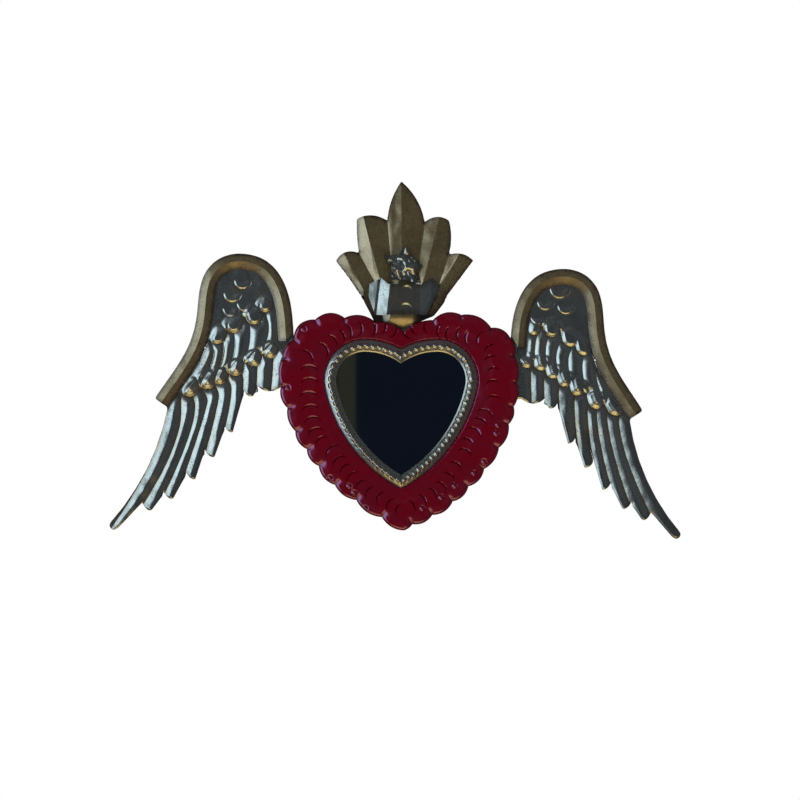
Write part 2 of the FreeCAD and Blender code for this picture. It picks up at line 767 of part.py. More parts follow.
def make_wing(name, side):
    wing = Wing(name, side)
    relief = sheet_from(folded_skin(wing_rows(wing)))
    outline = wing_outline(wing).translated(at(0, 0, -WING_FRONT))
    depth = WING_FRONT + size("covert_ridge") + OVERRUN
    return part_feature(name, relief.common(prism(outline, 0, depth)))


def make_wing_rim(name, side):
    """Strip with a raised crease along its middle, cut back from the heart at its inner end."""
    wing = Wing(name, side)
    half_rim = size("rim_width") / 2
    outer = wing.rim_row(half_rim, TIN)
    crease = wing.rim_row(0.0, TIN + size("rim_rise"))
    inner = wing.rim_row(-half_rim, TIN)
    strip = sheet_from(folded_skin([outer, crease, inner]))
    gap = size("scallop_bulge") + size("rim_heart_clearance")
    heart = Part.makePolygon(OUTER_HEART.outward(gap).ring(OPENING_CHORDS, 0))
    strip = strip.cut(prism(heart, 0, WING_FRONT + size("rim_rise") + OVERRUN))
    kept = max(strip.Solids, key=lambda solid: solid.Volume)
    return part_feature(name + "_rim", kept)


# Crown: folded sheet of five flames

def crown_point(across, up, forward):
    x = size("crown_centre_x") + across * size("crown_width")
    return at(x, size("crown_base") + up * size("crown_height"), forward)


def make_crown_flames():
    knee_rise = size("flame_knee_ridge")
    tip_rise = size("flame_tip_ridge")
    rows = [[], [], [], [], []]
    for index, (base, knee, notch, top) in enumerate(CROWN_FOLD_SHARES):
        travel = (CROWN_FLAT_SHARE - base[1]) / (knee[1] - base[1])
        foot = (base[0] + (knee[0] - base[0]) * travel, CROWN_FLAT_SHARE)
        levels = [(base, 0.0), (foot, 0.0), (knee, knee_rise), (notch, tip_rise), (top, tip_rise)]
        for row, (shares, rise) in zip(rows, levels):
            row.append(crown_point(*shares, CROWN_FRONT + (rise if index % 2 else 0.0)))
    sheet = sheet_from(folded_skin(rows))
    places = [(crown_point(*start, 0), crown_point(*through, 0)) for start, through in CROWN_ARC_SHARES]
    foot = [crown_point(*shares, 0) for shares in CROWN_FOOT_SHARES]
    ends = [start for start, _ in places[1:]] + foot[:1]
    edges = [line(start, end) for start, end in zip(foot, foot[1:])]
    for (start, through), end in zip(places, ends):
        edges += chorded_arc(start, through, end)
    depth = CROWN_FRONT + size("flame_tip_ridge") + OVERRUN
    return part_feature("crown_flames", sheet.common(prism(Part.Wire(edges), 0, depth)))


def make_crown_band():
    """Strip folded into five facets, soldered in front of the flames' feet."""
    base = CROWN_FRONT + size("flame_knee_ridge") + TIN + size("band_gap")
    front = size("band_front_fold")
    peak = size("band_fold")
    folds = [0.0, peak, front, front, peak, 0.0]
    top = [crown_point(*shares, base + fold) for shares, fold in zip(BAND_TOP_SHARES, folds)]
    bottom = [crown_point(*shares, base + fold) for shares, fold in zip(BAND_BOTTOM_SHARES, folds)]
    return part_feature("crown_band", sheet_from(folded_skin([top, bottom])))


def make_crown_star():
    """Five points, each folded along its middle."""
    base = CROWN_FRONT + size("flame_knee_ridge") + TIN + size("star_gap")
    centre = crown_point(*STAR_CENTRE_SHARES, base + size("star_rise"))
    radius = size("star_radius")

    def spoke(turn, share, rise):
        angle = math.radians(turn)
        x = centre.x + radius * share * math.cos(angle)
        return at(x, centre.z + radius * share * math.sin(angle), base + rise)

    rim = []
    for index, (turn, share) in enumerate(zip(STAR_TIP_TURNS, STAR_TIP_SHARES)):
        later = STAR_TIP_TURNS[(index + 1) % len(STAR_TIP_TURNS)]
        if later < turn:
            later += 360.0
        rim.append(spoke(turn, share, 0.0))
        rim.append(spoke((turn + later) / 2, STAR_NOTCH_SHARE, size("star_notch_rise")))
    faces = []
    for start, end in zip(rim, rim[1:] + rim[:1]):
        faces.append(Part.Face(Part.makePolygon([centre, start, end, centre])))
    return part_feature("crown_star", sheet_from(faces))


# The strip starts above the pan's cleft
PAN_CLEFT_RADIUS = f"(Sizes.opening_cleft_radius + {PAN_OFFSET_FORMULA})"
PAN_CLEFT_SIDE = "(Sizes.opening_lobe_x - Sizes.strut_width / 2)"
PAN_CLEFT_RISE = f"sqrt({PAN_CLEFT_RADIUS} ^ 2 - {PAN_CLEFT_SIDE} ^ 2)"
PAN_CLEFT = f"(Sizes.opening_top - Sizes.opening_cleft_radius + {PAN_CLEFT_RISE})"
STRUT_BOTTOM = f"({PAN_CLEFT} + Sizes.strut_pan_clearance)"
STRUT_JOGGLE = "(Sizes.crown_base - Sizes.strut_crown_clearance - Sizes.strut_joggle_run)"
STRUT_TOP = "(Sizes.crown_base + Sizes.strut_crown_reach)"


def make_crown_strut():
    """Joggled strip: flat on the back of the heart's flange, then flat on the back of the crown."""
    body = doc.addObject("PartDesign::Body", "crown_strut")
    body.Label = "crown_strut"
    sketch = body.newObject("Sketcher::SketchObject", "crown_strut_profile")
    sketch.AttachmentSupport = [(origin_plane(body, "YZ_Plane"), "")]
    sketch.MapMode = "FlatFace"
    pan = "(Sizes.glass_thickness + Sizes.card_thickness + Sizes.tin_thickness)"
    tin = "Sizes.tin_thickness"
    after = f"{STRUT_JOGGLE} + Sizes.strut_joggle_run"
    corners = [
        (f"-{pan}", STRUT_BOTTOM),
        (f"-{pan} + {tin}", STRUT_BOTTOM),
        (f"-{pan} + {tin}", STRUT_JOGGLE),
        (f"-{pan} + 2 * {tin}", after),
        (f"-{pan} + 2 * {tin}", STRUT_TOP),
        (f"-{pan} + {tin}", STRUT_TOP),
        (f"-{pan} + {tin}", after),
        (f"-{pan}", STRUT_JOGGLE),
    ]
    bind_polygon(sketch, corners)
    pad = body.newObject("PartDesign::Pad", "crown_strut_pad")
    pad.Profile = sketch
    pad.Midplane = True
    pad.setExpression("Length", "Sizes.strut_width")
    return body


def bind_polygon(sketch, corners):
    """Closed polygon whose every corner is held by a formula across and a formula up."""
    count = len(corners)
    turns = [2 * math.pi * index / count for index in range(count)]
    seats = [Vector(math.cos(turn), math.sin(turn), 0) for turn in turns]
    for index in range(count):
        sketch.addGeometry(Part.LineSegment(seats[index], seats[(index + 1) % count]))
    for index in range(count):
        bind(sketch, Sketcher.Constraint("Coincident", index, 2, (index + 1) % count, 1), None)
    for index, (across, up) in enumerate(corners):
        seat = seats[index]
        bind(sketch, Sketcher.Constraint("DistanceX", -1, 1, index, 1, seat.x), across)
        bind(sketch, Sketcher.Constraint("DistanceY", -1, 1, index, 1, seat.y), up)


# Hanger: wire ring in a rolled strap on the back of the crown's strip

STRAP_FRONT = "(Sizes.glass_thickness + Sizes.card_thickness - Sizes.tin_thickness)"
BARREL_BORE = "(Sizes.ring_wire_radius + Sizes.barrel_clearance)"
BARREL_OUTSIDE = f"({BARREL_BORE} + Sizes.tin_thickness)"
RING_DEPTH = f"({STRAP_FRONT} - {BARREL_OUTSIDE})"
RING_BAR_HEIGHT = f"({STRUT_BOTTOM} + Sizes.ring_rise)"


def solid_feature(kind, label, **formulas):
    feature = doc.addObject(kind, label)
    for path, formula in formulas.items():
        feature.setExpression(path.replace("__", "."), formula)
    return feature


def make_hanger_strap():
    along_x = Rotation(Vector(0, 1, 0), 90)
    shell = solid_feature(
        "Part::Cylinder", "barrel_outside", Radius=BARREL_OUTSIDE, Height="Sizes.barrel_length",
        Placement__Base__x="-Sizes.barrel_length / 2", Placement__Base__y=f"-{RING_DEPTH}",
        Placement__Base__z=RING_BAR_HEIGHT,
    )
    bore = solid_feature(
        "Part::Cylinder", "barrel_bore", Radius=BARREL_BORE, Height="Sizes.barrel_length + 2 * Sizes.overrun",
        Placement__Base__x="-Sizes.barrel_length / 2 - Sizes.overrun", Placement__Base__y=f"-{RING_DEPTH}",
        Placement__Base__z=RING_BAR_HEIGHT,
    )
    for cylinder in (shell, bore):
        cylinder.Placement.Rotation = along_x
    tail = solid_feature(
        "Part::Box", "strap_tail", Length="Sizes.barrel_length", Width="Sizes.tin_thickness",
        Height="Sizes.hanger_tail", Placement__Base__x="-Sizes.barrel_length / 2",
        Placement__Base__y=f"-{STRAP_FRONT}", Placement__Base__z=RING_BAR_HEIGHT,
    )
    solid = doc.addObject("Part::Fuse", "strap_solid")
    solid.Base = shell
    solid.Tool = tail
    strap = doc.addObject("Part::Cut", "hanger_strap")
    strap.Base = solid
    strap.Tool = bore
    strap.Label = "hanger_strap"
    return strap


def make_hanger_ring():
    """Bent wire that hangs down from a straight bar: a bend, a half-round bow and another bend."""
    half_width = size("ring_half_width")
    corner = size("ring_corner_radius")
    wire = size("ring_wire_radius")
    depth = worked_out(RING_DEPTH)
    shoulder_z = worked_out(RING_BAR_HEIGHT) - corner
    bends = [
        (half_width - corner, corner, 90, 0, BEND_CHORDS),
        (0.0, half_width, 0, -180, BOW_CHORDS),
        (corner - half_width, corner, -180, -270, BEND_CHORDS),
    ]
    sides = [2 * math.pi * side / WIRE_SIDES for side in range(WIRE_SIDES + 1)]
    rows = []
    for centre_x, radius, first, last, chords in bends:
        for step in range(1 if rows else 0, chords + 1):
            turn = math.radians(first + (last - first) * step / chords)
            row = []
            for side in sides:
                reach = radius + wire * math.cos(side)
                forward = depth + wire * math.sin(side)
                x = centre_x + reach * math.cos(turn)
                row.append(at(x, shoulder_z + reach * math.sin(turn), forward))
            rows.append(row)
    return part_feature("hanger_ring", solid_from(folded_skin(rows + rows[:1])))


# Solder: flattened caps on the backs of the joints

def solder_cap(x, z, forward):
    """Flat-topped cap, wide side on a back face."""
    def edge(radius, depth):
        turns = [2 * math.pi * side / SOLDER_SIDES for side in range(SOLDER_SIDES + 1)]
        return [at(x + radius * math.cos(turn), z + radius * math.sin(turn), depth) for turn in turns]

    base = edge(size("solder_radius"), forward)
    top = edge(size("solder_radius") * SOLDER_TOP_SHARE, forward - size("solder_height"))
    flats = [Part.Face(Part.makePolygon(base)), Part.Face(Part.makePolygon(top))]
    return solid_from(folded_skin([base, top]) + flats)


def solder_group(label, places):
    return part_feature(label, Part.makeCompound([solder_cap(*place) for place in places]))


def make_solder():
    base = size("solder_radius")
    pan_edge = OPENING.outward(PAN_OFFSET + base)
    pan_points = [pan_edge.place(share) for share in PAN_SOLDER_SHARES]
    heart_back = PAN_DEPTH
    pan_places = [(side * x, z, heart_back) for side in (1, -1) for x, z in pan_points]
    groups = [solder_group("pan_solder", pan_places)]
    tin_back = WING_FRONT - TIN
    for name, side in (("left_wing", -1), ("right_wing", 1)):
        top = size(f"{name}_top")
        low = top - size("root_tab_bottom_drop")
        high = top - size("root_tab_top_drop")
        x = side * (root_tab_x() + base)
        heights = [low + base, (low + high) / 2, high - base]
        groups.append(solder_group(name + "_solder", [(x, z, tin_back) for z in heights]))
    strut_x = size("strut_width") / 2 - base
    crown_z = worked_out(STRUT_TOP) - 2 * base
    strut_back = CROWN_FRONT - 2 * TIN
    crown_places = [(side * strut_x, crown_z, strut_back) for side in (-1, 1)]
    flange_x = size("strut_width") / 2 + base
    flange_z = pan_edge.cleft_height(flange_x)
    crown_places += [(side * flange_x, flange_z, heart_back) for side in (-1, 1)]
    groups.append(solder_group("crown_solder", crown_places))
    tail_z = worked_out(RING_BAR_HEIGHT) + size("hanger_tail") - base
    tail_x = size("barrel_length") / 2 - base
    tail_places = [(side * tail_x, tail_z, strut_back - TIN) for side in (-1, 1)]
    groups.append(solder_group("hanger_solder", tail_places))
    return groups


# Build, check and write the pieces

pieces = [
    make_heart_frame(),
    make_bezel(-1),
    make_bezel(1),
    make_mirror_glass(),
    make_backing_card(),
    make_back_pan(),
    make_wing("left_wing", -1),
    make_wing("right_wing", 1),
    make_wing_rim("left_wing", -1),
    make_wing_rim("right_wing", 1),
    make_crown_flames(),
    make_crown_band(),
    make_crown_star(),
    make_crown_strut(),
    make_hanger_strap(),
    make_hanger_ring(),
]
pieces += make_solder()
doc.recompute()

for item in doc.Objects:
    if "Invalid" in item.State or "Error" in item.State:
        raise RuntimeError(f"{item.Label} failed: {item.State}")

os.makedirs("parts", exist_ok=True)
for piece in pieces:
    shape = piece.Shape
    if shape.isNull() or not shape.isValid() or not shape.Solids:
        raise RuntimeError(f"{piece.Label} has no valid solid")
    shape.exportStep(f"parts/{piece.Label}.step")
    print(f"{piece.Label}: {len(shape.Solids)} solid, {len(shape.Faces)} faces, {shape.Volume:.0f} mm3")
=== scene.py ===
import json
import math

import bmesh
import bpy
import numpy as np
from bpy.props import FloatProperty, FloatVectorProperty, PointerProperty
from bpy.types import Operator, Panel, PropertyGroup
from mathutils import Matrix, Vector, noise
from mathutils.bvhtree import BVHTree
from mathutils.geometry import delaunay_2d_cdt
from mathutils.kdtree import KDTree


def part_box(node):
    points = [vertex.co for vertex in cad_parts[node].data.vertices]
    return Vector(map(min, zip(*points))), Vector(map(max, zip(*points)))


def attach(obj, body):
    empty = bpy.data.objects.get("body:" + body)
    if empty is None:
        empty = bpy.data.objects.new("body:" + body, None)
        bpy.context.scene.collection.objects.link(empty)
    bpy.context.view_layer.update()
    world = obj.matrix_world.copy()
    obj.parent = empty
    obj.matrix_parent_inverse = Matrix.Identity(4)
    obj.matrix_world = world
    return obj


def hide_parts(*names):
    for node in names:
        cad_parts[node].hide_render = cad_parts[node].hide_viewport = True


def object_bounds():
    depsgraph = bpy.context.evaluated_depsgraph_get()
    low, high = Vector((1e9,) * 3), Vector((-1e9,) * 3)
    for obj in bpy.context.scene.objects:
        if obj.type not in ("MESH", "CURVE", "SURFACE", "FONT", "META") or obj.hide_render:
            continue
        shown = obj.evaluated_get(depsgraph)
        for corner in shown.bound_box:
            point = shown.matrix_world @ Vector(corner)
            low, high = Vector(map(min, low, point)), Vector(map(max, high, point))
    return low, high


bl_info = {
    "name": "Winged heart mirror",
    "version": (1, 0, 0),
    "blender": (4, 5, 0),
    "location": "View3D > Sidebar > Mirror",
    "description": "Embossed tin, enamel and glass around the mirror's packed model",
    "category": "Add Mesh",
}

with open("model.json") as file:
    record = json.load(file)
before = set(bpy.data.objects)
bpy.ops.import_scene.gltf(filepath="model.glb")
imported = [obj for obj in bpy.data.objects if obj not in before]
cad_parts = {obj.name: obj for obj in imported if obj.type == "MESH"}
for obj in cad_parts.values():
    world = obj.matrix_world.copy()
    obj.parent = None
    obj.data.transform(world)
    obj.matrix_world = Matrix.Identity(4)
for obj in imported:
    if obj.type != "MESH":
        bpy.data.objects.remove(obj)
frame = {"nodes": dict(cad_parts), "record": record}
CAD_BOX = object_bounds()

# Lengths in the script are millimetres, and meshes are made in metres.
MM = 0.001
# The photograph's scale, and the pixel that lies at the frame's origin
MM_PER_PIXEL = 0.8
ORIGIN_PIXEL = (401.0, 412.0)
PHOTO_SIDE = 800


def spot(across, down):
    """Place on the front, in millimetres, of a pixel of the photograph."""
    return (across - ORIGIN_PIXEL[0]) * MM_PER_PIXEL, (ORIGIN_PIXEL[1] - down) * MM_PER_PIXEL


def spots(pixels):
    return [spot(*pixel) for pixel in pixels]


def ease(value, low, high):
    """Smooth step from 0 to 1 between two values."""
    share = np.clip((value - low) / (high - low), 0.0, 1.0)
    return share * share * (3.0 - 2.0 * share)


# Sizes and colours that a user would change

def length(name, description, millimetres):
    return FloatProperty(
        name=name, description=description, default=millimetres * MM, min=0.0, unit="LENGTH", precision=5,
    )


def share(name, description, amount):
    return FloatProperty(
        name=name, description=description, default=amount, min=0.0, max=1.0, subtype="FACTOR",
    )


def power(name, description, watts):
    return FloatProperty(name=name, description=description, default=watts, min=0.0, unit="POWER")


def colour(name, description, red, green, blue):
    return FloatVectorProperty(
        name=name, description=description, default=(red, green, blue), min=0.0, max=1.0, size=3,
        subtype="COLOR",
    )


class TinSizes(PropertyGroup):
    thickness: length("Thickness", "Thickness of the tin sheet", 0.6)
    heart_spacing: length("Heart mesh", "Distance between points of the heart's relief", 0.66)
    wing_spacing: length("Wing mesh", "Distance between points of a wing's relief", 0.62)
    trim_spacing: length("Trim mesh", "Distance between points of the creased trim", 0.85)


class HeartSizes(PropertyGroup):
    crest: length("Crest", "Height of the crest over the heart's edge", 4.8)
    edge_roll: length("Edge roll", "Height of the rolled edge of each scallop", 3.6)
    edge_width: length("Edge width", "Width of the rolled edge", 2.6)
    crease_depth: length("Crease depth", "Depth of the creases between scallops", 1.5)
    pillow: length("Pillow", "Further rise of each scallop's middle", 0.5)
    stamp_depth: length("Crescent depth", "Depth of the crescent stamps", 1.1)
    boss_radius: length("Boss radius", "Radius of the punched bosses", 2.6)


class BezelSizes(PropertyGroup):
    width: length("Width", "Width of the half-round strip", 10.0)
    bead_pitch: length("Bead pitch", "Distance between beads", 5.0)
    bead_radius: length("Bead radius", "Radius of a bead", 1.9)
    bead_height: length("Bead height", "Height of a bead", 1.1)


class WingSizes(PropertyGroup):
    tier_lift: length("Tier lift", "Height of a tier's lip over the next tier", 1.1)
    lip_rise: length("Lip rise", "Further rise behind the lip", 1.7)
    rib_height: length("Rib height", "Height of the ribs of the middle tier", 2.3)
    quill_height: length("Quill height", "Greatest height of the long feathers' ridges", 3.2)
    quill_slope: share("Quill slope", "Rise of a long feather's flank at its foot", 0.58)
    scale_rise: length("Scale rise", "Height of the small stamped scales", 1.0)


class CrownSizes(PropertyGroup):
    hammering: length("Hammering", "Depth of the hammered unevenness", 0.25)
    left_folds: share("Left folds", "How much steeper the left folds are", 0.62)
    right_folds: share("Right folds", "How much flatter the other folds are", 0.35)
    foot_bulge: length("Foot bulge", "How far the foot bulges below the band", 3.6)
    band_step: length("Band step", "How far the band's sides step back", 3.4)
    crumple: length("Crumple", "Depth of the star's crumples", 1.5)


class Finishes(PropertyGroup):
    enamel: colour("Enamel", "Colour of the heart's enamel", 0.132, 0.0006, 0.005)
    tin: colour("Tin", "Colour of clean tin", 0.36, 0.395, 0.405)
    tarnish: colour("Tarnish", "Colour of dark spots on tin", 0.030, 0.027, 0.024)
    # The lacquer colour also serves as the painted golden reflection and painted shade in hollows of tin
    lacquer: colour("Lacquer", "Colour of old lacquer in hollows", 0.30, 0.19, 0.06)
    bronze: colour("Bronze", "Colour of the bronzed trim", 0.24, 0.185, 0.085)
    patina: colour("Patina", "Colour of the dark patina on bronzed edges", 0.045, 0.020, 0.012)
    solder: colour("Solder", "Colour of solder", 0.42, 0.42, 0.40)
    card: colour("Card", "Colour of the backing card", 0.36, 0.26, 0.16)


class StudioSizes(PropertyGroup):
    distance: length("Camera distance", "Distance of the camera from the wall plane", 2600.0)
    floor_drop: length("Floor drop", "Distance of the floor under the lowest point", 420.0)
    floor_radius: length("Floor radius", "Radius of the floor", 500.0)
    room: length("Room", "Radius of the dark room that metal and enamel mirror", 4500.0)
    card_distance: length("Card distance", "Distance of the mirrored cards from the mirror", 3000.0)
    window_power: power("Window", "Power of the cool lamp", 12.0)
    warm_power: power("Warm lamp", "Power of the warm lamp", 5.0)


# Shader maths: a number in a material, which Python's operators add nodes to

class Number:
    def __init__(self, finish, socket):
        self.finish = finish
        self.socket = socket

    def combined(self, operation, *others):
        return self.finish.node("ShaderNodeMath", {"operation": operation}, [self, *others])

    def __add__(self, other):
        return self.combined("ADD", other)

    def __radd__(self, other):
        return self + other

    def __sub__(self, other):
        return self.combined("SUBTRACT", other)

    def __rsub__(self, other):
        return self * -1.0 + other

    def __mul__(self, other):
        return self.combined("MULTIPLY", other)

    def __rmul__(self, other):
        return self * other

    def between(self, low, high):
        """0 below the low value, 1 above the high one, smooth between."""
        settings = {"interpolation_type": "SMOOTHSTEP"}
        return self.finish.node("ShaderNodeMapRange", settings, [self, low, high, 0.0, 1.0])


class Finish:
    """Material of one finish."""

    def __init__(self, name, **constants):
        self.material = bpy.data.materials.new(name)
        self.material.use_nodes = True
        self.tree = self.material.node_tree
        self.shader = self.tree.nodes["Principled BSDF"]
        self.place = self.node("ShaderNodeTexCoord", {}, [], output="Object")
        for socket, amount in constants.items():
            self.shader.inputs[socket.replace("_", " ")].default_value = amount

    def node(self, kind, settings, inputs, output=0, **named):
        made = self.tree.nodes.new(kind)
        for setting, choice in settings.items():
            setattr(made, setting, choice)
        for key, given in [*enumerate(inputs), *named.items()]:
            socket = made.inputs[key.replace("_", " ") if isinstance(key, str) else key]
            if isinstance(given, Number):
                self.tree.links.new(given.socket, socket)
            elif given is not None:
                socket.default_value = given
        return Number(self, made.outputs[output])

    def noise(self, grain, detail=2.0, roughness=0.5, stretch=None, offset=0.0):
        """Noise with spots about one grain wide, in millimetres."""
        place = self.place
        if stretch or offset:
            place = self.node(
                "ShaderNodeMapping", {}, [place],
                Scale=stretch or (1.0, 1.0, 1.0), Location=(offset, 0.0, offset),
            )
        return self.node(
            "ShaderNodeTexNoise", {}, [place], Scale=1.0 / (grain * MM), Detail=detail, Roughness=roughness,
        )

    def measure(self, name):
        """A number that the mesh holds at each point."""
        return self.node("ShaderNodeAttribute", {"attribute_name": name}, [], output="Fac")

    def mixed(self, amount, first, second):
        """Colour part of the way from one to another."""
        def full(given):
            return given if isinstance(given, Number) else (*given, 1.0)
        made = self.tree.nodes.new("ShaderNodeMix")
        made.data_type = "RGBA"
        for index, given in ((0, amount), (6, full(first)), (7, full(second))):
            if isinstance(given, Number):
                self.tree.links.new(given.socket, made.inputs[index])
            else:
                made.inputs[index].default_value = given
        return Number(self, made.outputs[2])

    def feed(self, **sockets):
        for name, given in sockets.items():
            self.tree.links.new(given.socket, self.shader.inputs[name.replace("_", " ")])

    def bump(self, height, distance, strength=1.0):
        made = self.node("ShaderNodeBump", {}, [], Strength=strength, Distance=distance * MM, Height=height)
        self.feed(Normal=made)


def tin_finish(name, colours, lacquer_and_gold_amount, spotted, roughness=0.19):
    """Tin that has darkened in spots and kept old lacquer in its hollows, whose amber there is also a painted
    golden reflection and painted shade.
    """
    finish = Finish(name, Metallic=0.90)
    cloud = finish.noise(26.0, 3.0, 0.6)
    spots_mask = finish.noise(1.5, 4.0, 0.75, offset=0.3).between(0.60 - 0.08 * spotted, 0.70)
    spots_mask = spots_mask * finish.noise(14.0, 2.0, offset=0.7).between(0.46, 0.60)
    streaks = finish.noise(2.2, 3.0, 0.6, stretch=(1.0, 1.0, 0.16)).between(0.45, 0.72)
    hollow = finish.measure("hollow")
    base = finish.mixed(cloud.between(0.30, 0.72), [c * 0.86 for c in colours.tin], colours.tin)
    base = finish.mixed(streaks * 0.25, base, [c * 0.45 for c in colours.tin])
    # Amber in the hollows: pooled lacquer, and also a painted golden reflection and painted shade
    lacquer_and_painted_gold = (hollow * lacquer_and_gold_amount + cloud.between(0.52, 0.70) * (0.4 * lacquer_and_gold_amount)) * 0.75
    base = finish.mixed(lacquer_and_painted_gold, base, colours.lacquer)
    base = finish.mixed(spots_mask * (0.85 * spotted), base, colours.tarnish)
    base = finish.mixed(finish.measure("edge") * 0.35, base, colours.tarnish)
    grain = finish.noise(0.9, 4.0, 0.7)
    finish.feed(Base_Color=base, Roughness=spots_mask * 0.35 + cloud * 0.12 + roughness)
    finish.bump(grain * 0.35 + finish.noise(7.0, 2.0) * 2.0, 0.08)
    return finish.material


def bronze_finish(name, colours):
    """Tin under bronze lacquer, darkest along its cut edges."""
    finish = Finish(name, Metallic=0.68, Coat_Weight=0.9, Coat_IOR=1.75, Coat_Roughness=0.28)
    cloud = finish.noise(18.0, 4.0, 0.65)
    blotch = finish.noise(6.0, 5.0, 0.72, offset=0.4)
    edge = finish.measure("edge")
    # On bronze the hollow attribute is painted shade on the crown flames beside the band and at the foot
    painted_shade = finish.measure("hollow")
    spots_mask = (finish.noise(1.1, 4.0, 0.75, offset=0.9) + edge * 0.07 + painted_shade * 0.16).between(0.54, 0.62)
    base = finish.mixed(cloud.between(0.34, 0.70), [c * 0.78 for c in colours.bronze], colours.bronze)
    pale = finish.noise(5.0, 3.0, offset=1.3).between(0.52, 0.75) * 0.35
    base = finish.mixed(pale, base, [c * 1.2 for c in (0.24, 0.22, 0.14)])
    dark = (edge * 0.9 + blotch * 1.2 - 0.75).between(0.30, 0.85)
    dark = dark * 0.8 + blotch.between(0.60, 0.72) * 0.2
    base = finish.mixed(dark, base, colours.patina)
    base = finish.mixed(spots_mask * 0.75, base, colours.patina)
    # Painted shade, darker than the patina
    base = finish.mixed(painted_shade * 0.85, base, [c * 0.4 for c in colours.patina])
    finish.feed(Base_Color=base, Roughness=dark * 0.18 + cloud * 0.12 + 0.30)
    finish.bump(finish.noise(0.8, 4.0, 0.7) * 0.5 + finish.noise(5.0, 2.0) * 1.6, 0.08)
    return finish.material


def enamel_finish(name, colours):
    """Clear red enamel over tin: it pools dark in the stamps, is darkened there and at its rolled edge as
    painted shade, and has a hard gloss.
    """
    finish = Finish(name, Metallic=0.0, IOR=1.85)
    finish.shader.inputs["Specular Tint"].default_value = (0.85, 0.48, 1.0, 1.0)
    pooled_and_painted_shade = finish.measure("hollow")
    cloud = finish.noise(20.0, 3.0, 0.6).between(0.35, 0.65)
    deep_red_and_painted_shade = [c * 0.30 for c in colours.enamel]
    base = finish.mixed(cloud * 0.35, colours.enamel, [c * 0.70 for c in colours.enamel])
    # Darker red in the stamps, creases and ditches: pooled enamel, and also painted shade
    base = finish.mixed(pooled_and_painted_shade * 0.8, base, deep_red_and_painted_shade)
    # Darker red along the rolled outer edge is painted shade
    base = finish.mixed(finish.measure("edge") * 0.4, base, deep_red_and_painted_shade)
    chips = finish.noise(2.0, 4.0, 0.7, offset=0.2).between(0.70, 0.76)
    base = finish.mixed(chips * 0.6, base, (0.02, 0.0, 0.002))
    finish.feed(Base_Color=base, Roughness=cloud * 0.06 + 0.12)
    finish.bump(finish.noise(9.0, 2.0) + finish.noise(2.5, 3.0) * 0.2, 0.20)
    return finish.material


def mirror_finish(name):
    """Silvered glass."""
    finish = Finish(name, Metallic=1.0, IOR=1.5)
    haze = finish.noise(60.0, 2.0)
    finish.feed(
        Base_Color=finish.mixed(haze.between(0.3, 0.7), (0.80, 0.83, 0.86), (0.86, 0.88, 0.90)),
        Roughness=haze.between(0.4, 0.8) * 0.015 + 0.02,
    )
    return finish.material


def plain_finish(name, tone, roughness, metallic, grain):
    """Dull surface of one tone with fine unevenness."""
    finish = Finish(name, Metallic=metallic)
    cloud = finish.noise(grain, 4.0, 0.6)
    fine = finish.noise(grain * 0.12, 3.0, 0.7, offset=0.5)
    base = finish.mixed(cloud.between(0.3, 0.7), tone, [c * 0.66 for c in tone])
    base = finish.mixed(fine.between(0.60, 0.74) * 0.5, base, [c * 0.35 for c in tone])
    finish.feed(Base_Color=base, Roughness=cloud * 0.2 + roughness)
    finish.bump(fine + cloud, 0.06)
    return finish.material


MATERIALS = {}


def material(slot):
    """The finish of one of the record's material slots, made once."""
    if not MATERIALS:
        colours = bpy.context.scene.mirror_finishes
        MATERIALS["aged_tin"] = tin_finish("aged_tin", colours, 0.75, 1.0)
        MATERIALS["beaded_tin"] = tin_finish("beaded_tin", colours, 0.55, 0.6, 0.16)
        MATERIALS["plain_tin"] = tin_finish("plain_tin", colours, 0.15, 0.7, 0.34)
        MATERIALS["bronzed_tin"] = bronze_finish("bronzed_tin", colours)
        MATERIALS["red_enamel"] = enamel_finish("red_enamel", colours)
        MATERIALS["mirror_glass"] = mirror_finish("mirror_glass")
        MATERIALS["card"] = plain_finish("card", colours.card, 0.75, 0.0, 9.0)
        MATERIALS["hanger_wire"] = plain_finish("hanger_wire", [c * 0.8 for c in colours.tin], 0.30, 1.0, 6.0)
        MATERIALS["solder"] = plain_finish("solder", colours.solder, 0.42, 1.0, 4.0)
    return MATERIALS[slot]


def keep_node(node, slot):
    """A CAD piece whose shape is right gets its finish."""
    piece = frame["nodes"][node]
    piece.data.materials.clear()
    piece.data.materials.append(material(slot))


# Relief sheets: the front of a CAD sheet, cut into a fine mesh and stamped

class FrontSkin:
    """Outline, folds and depth of the front of a CAD sheet."""

    FACING = -0.22
    FOLD_ANGLE = math.radians(9.0)
    WELD = 2e-6

    def __init__(self, node):
        self.mesh = bmesh.new()
        self.mesh.from_mesh(frame["nodes"][node].data)
        bmesh.ops.remove_doubles(self.mesh, verts=self.mesh.verts, dist=self.WELD)
        self.mesh.normal_update()
        hidden = [face for face in self.mesh.faces if face.normal.y > self.FACING]
        bmesh.ops.delete(self.mesh, geom=hidden, context="FACES")
        self.tree = BVHTree.FromBMesh(self.mesh)
        self.outline = [self.flat(edge) for edge in self.mesh.edges if edge.is_boundary]
        self.folds = [
            self.flat(edge) for edge in self.mesh.edges
            if not edge.is_boundary and edge.calc_face_angle(0.0) > self.FOLD_ANGLE
        ]

    @staticmethod
    def flat(edge):
        """Ends of an edge seen from the front, in millimetres."""
        return [(vert.co.x / MM, vert.co.z / MM) for vert in edge.verts]

    def depth(self, x, z):
        """Distance forward of the wall, in millimetres."""
        start = Vector((x * MM, -1.0, z * MM))
        hit, _, _, _ = self.tree.ray_cast(start, Vector((0.0, 1.0, 0.0)))
        if hit is None:
            hit, _, _, _ = self.tree.find_nearest(Vector((x * MM, -0.008, z * MM)))
        return -hit.y / MM


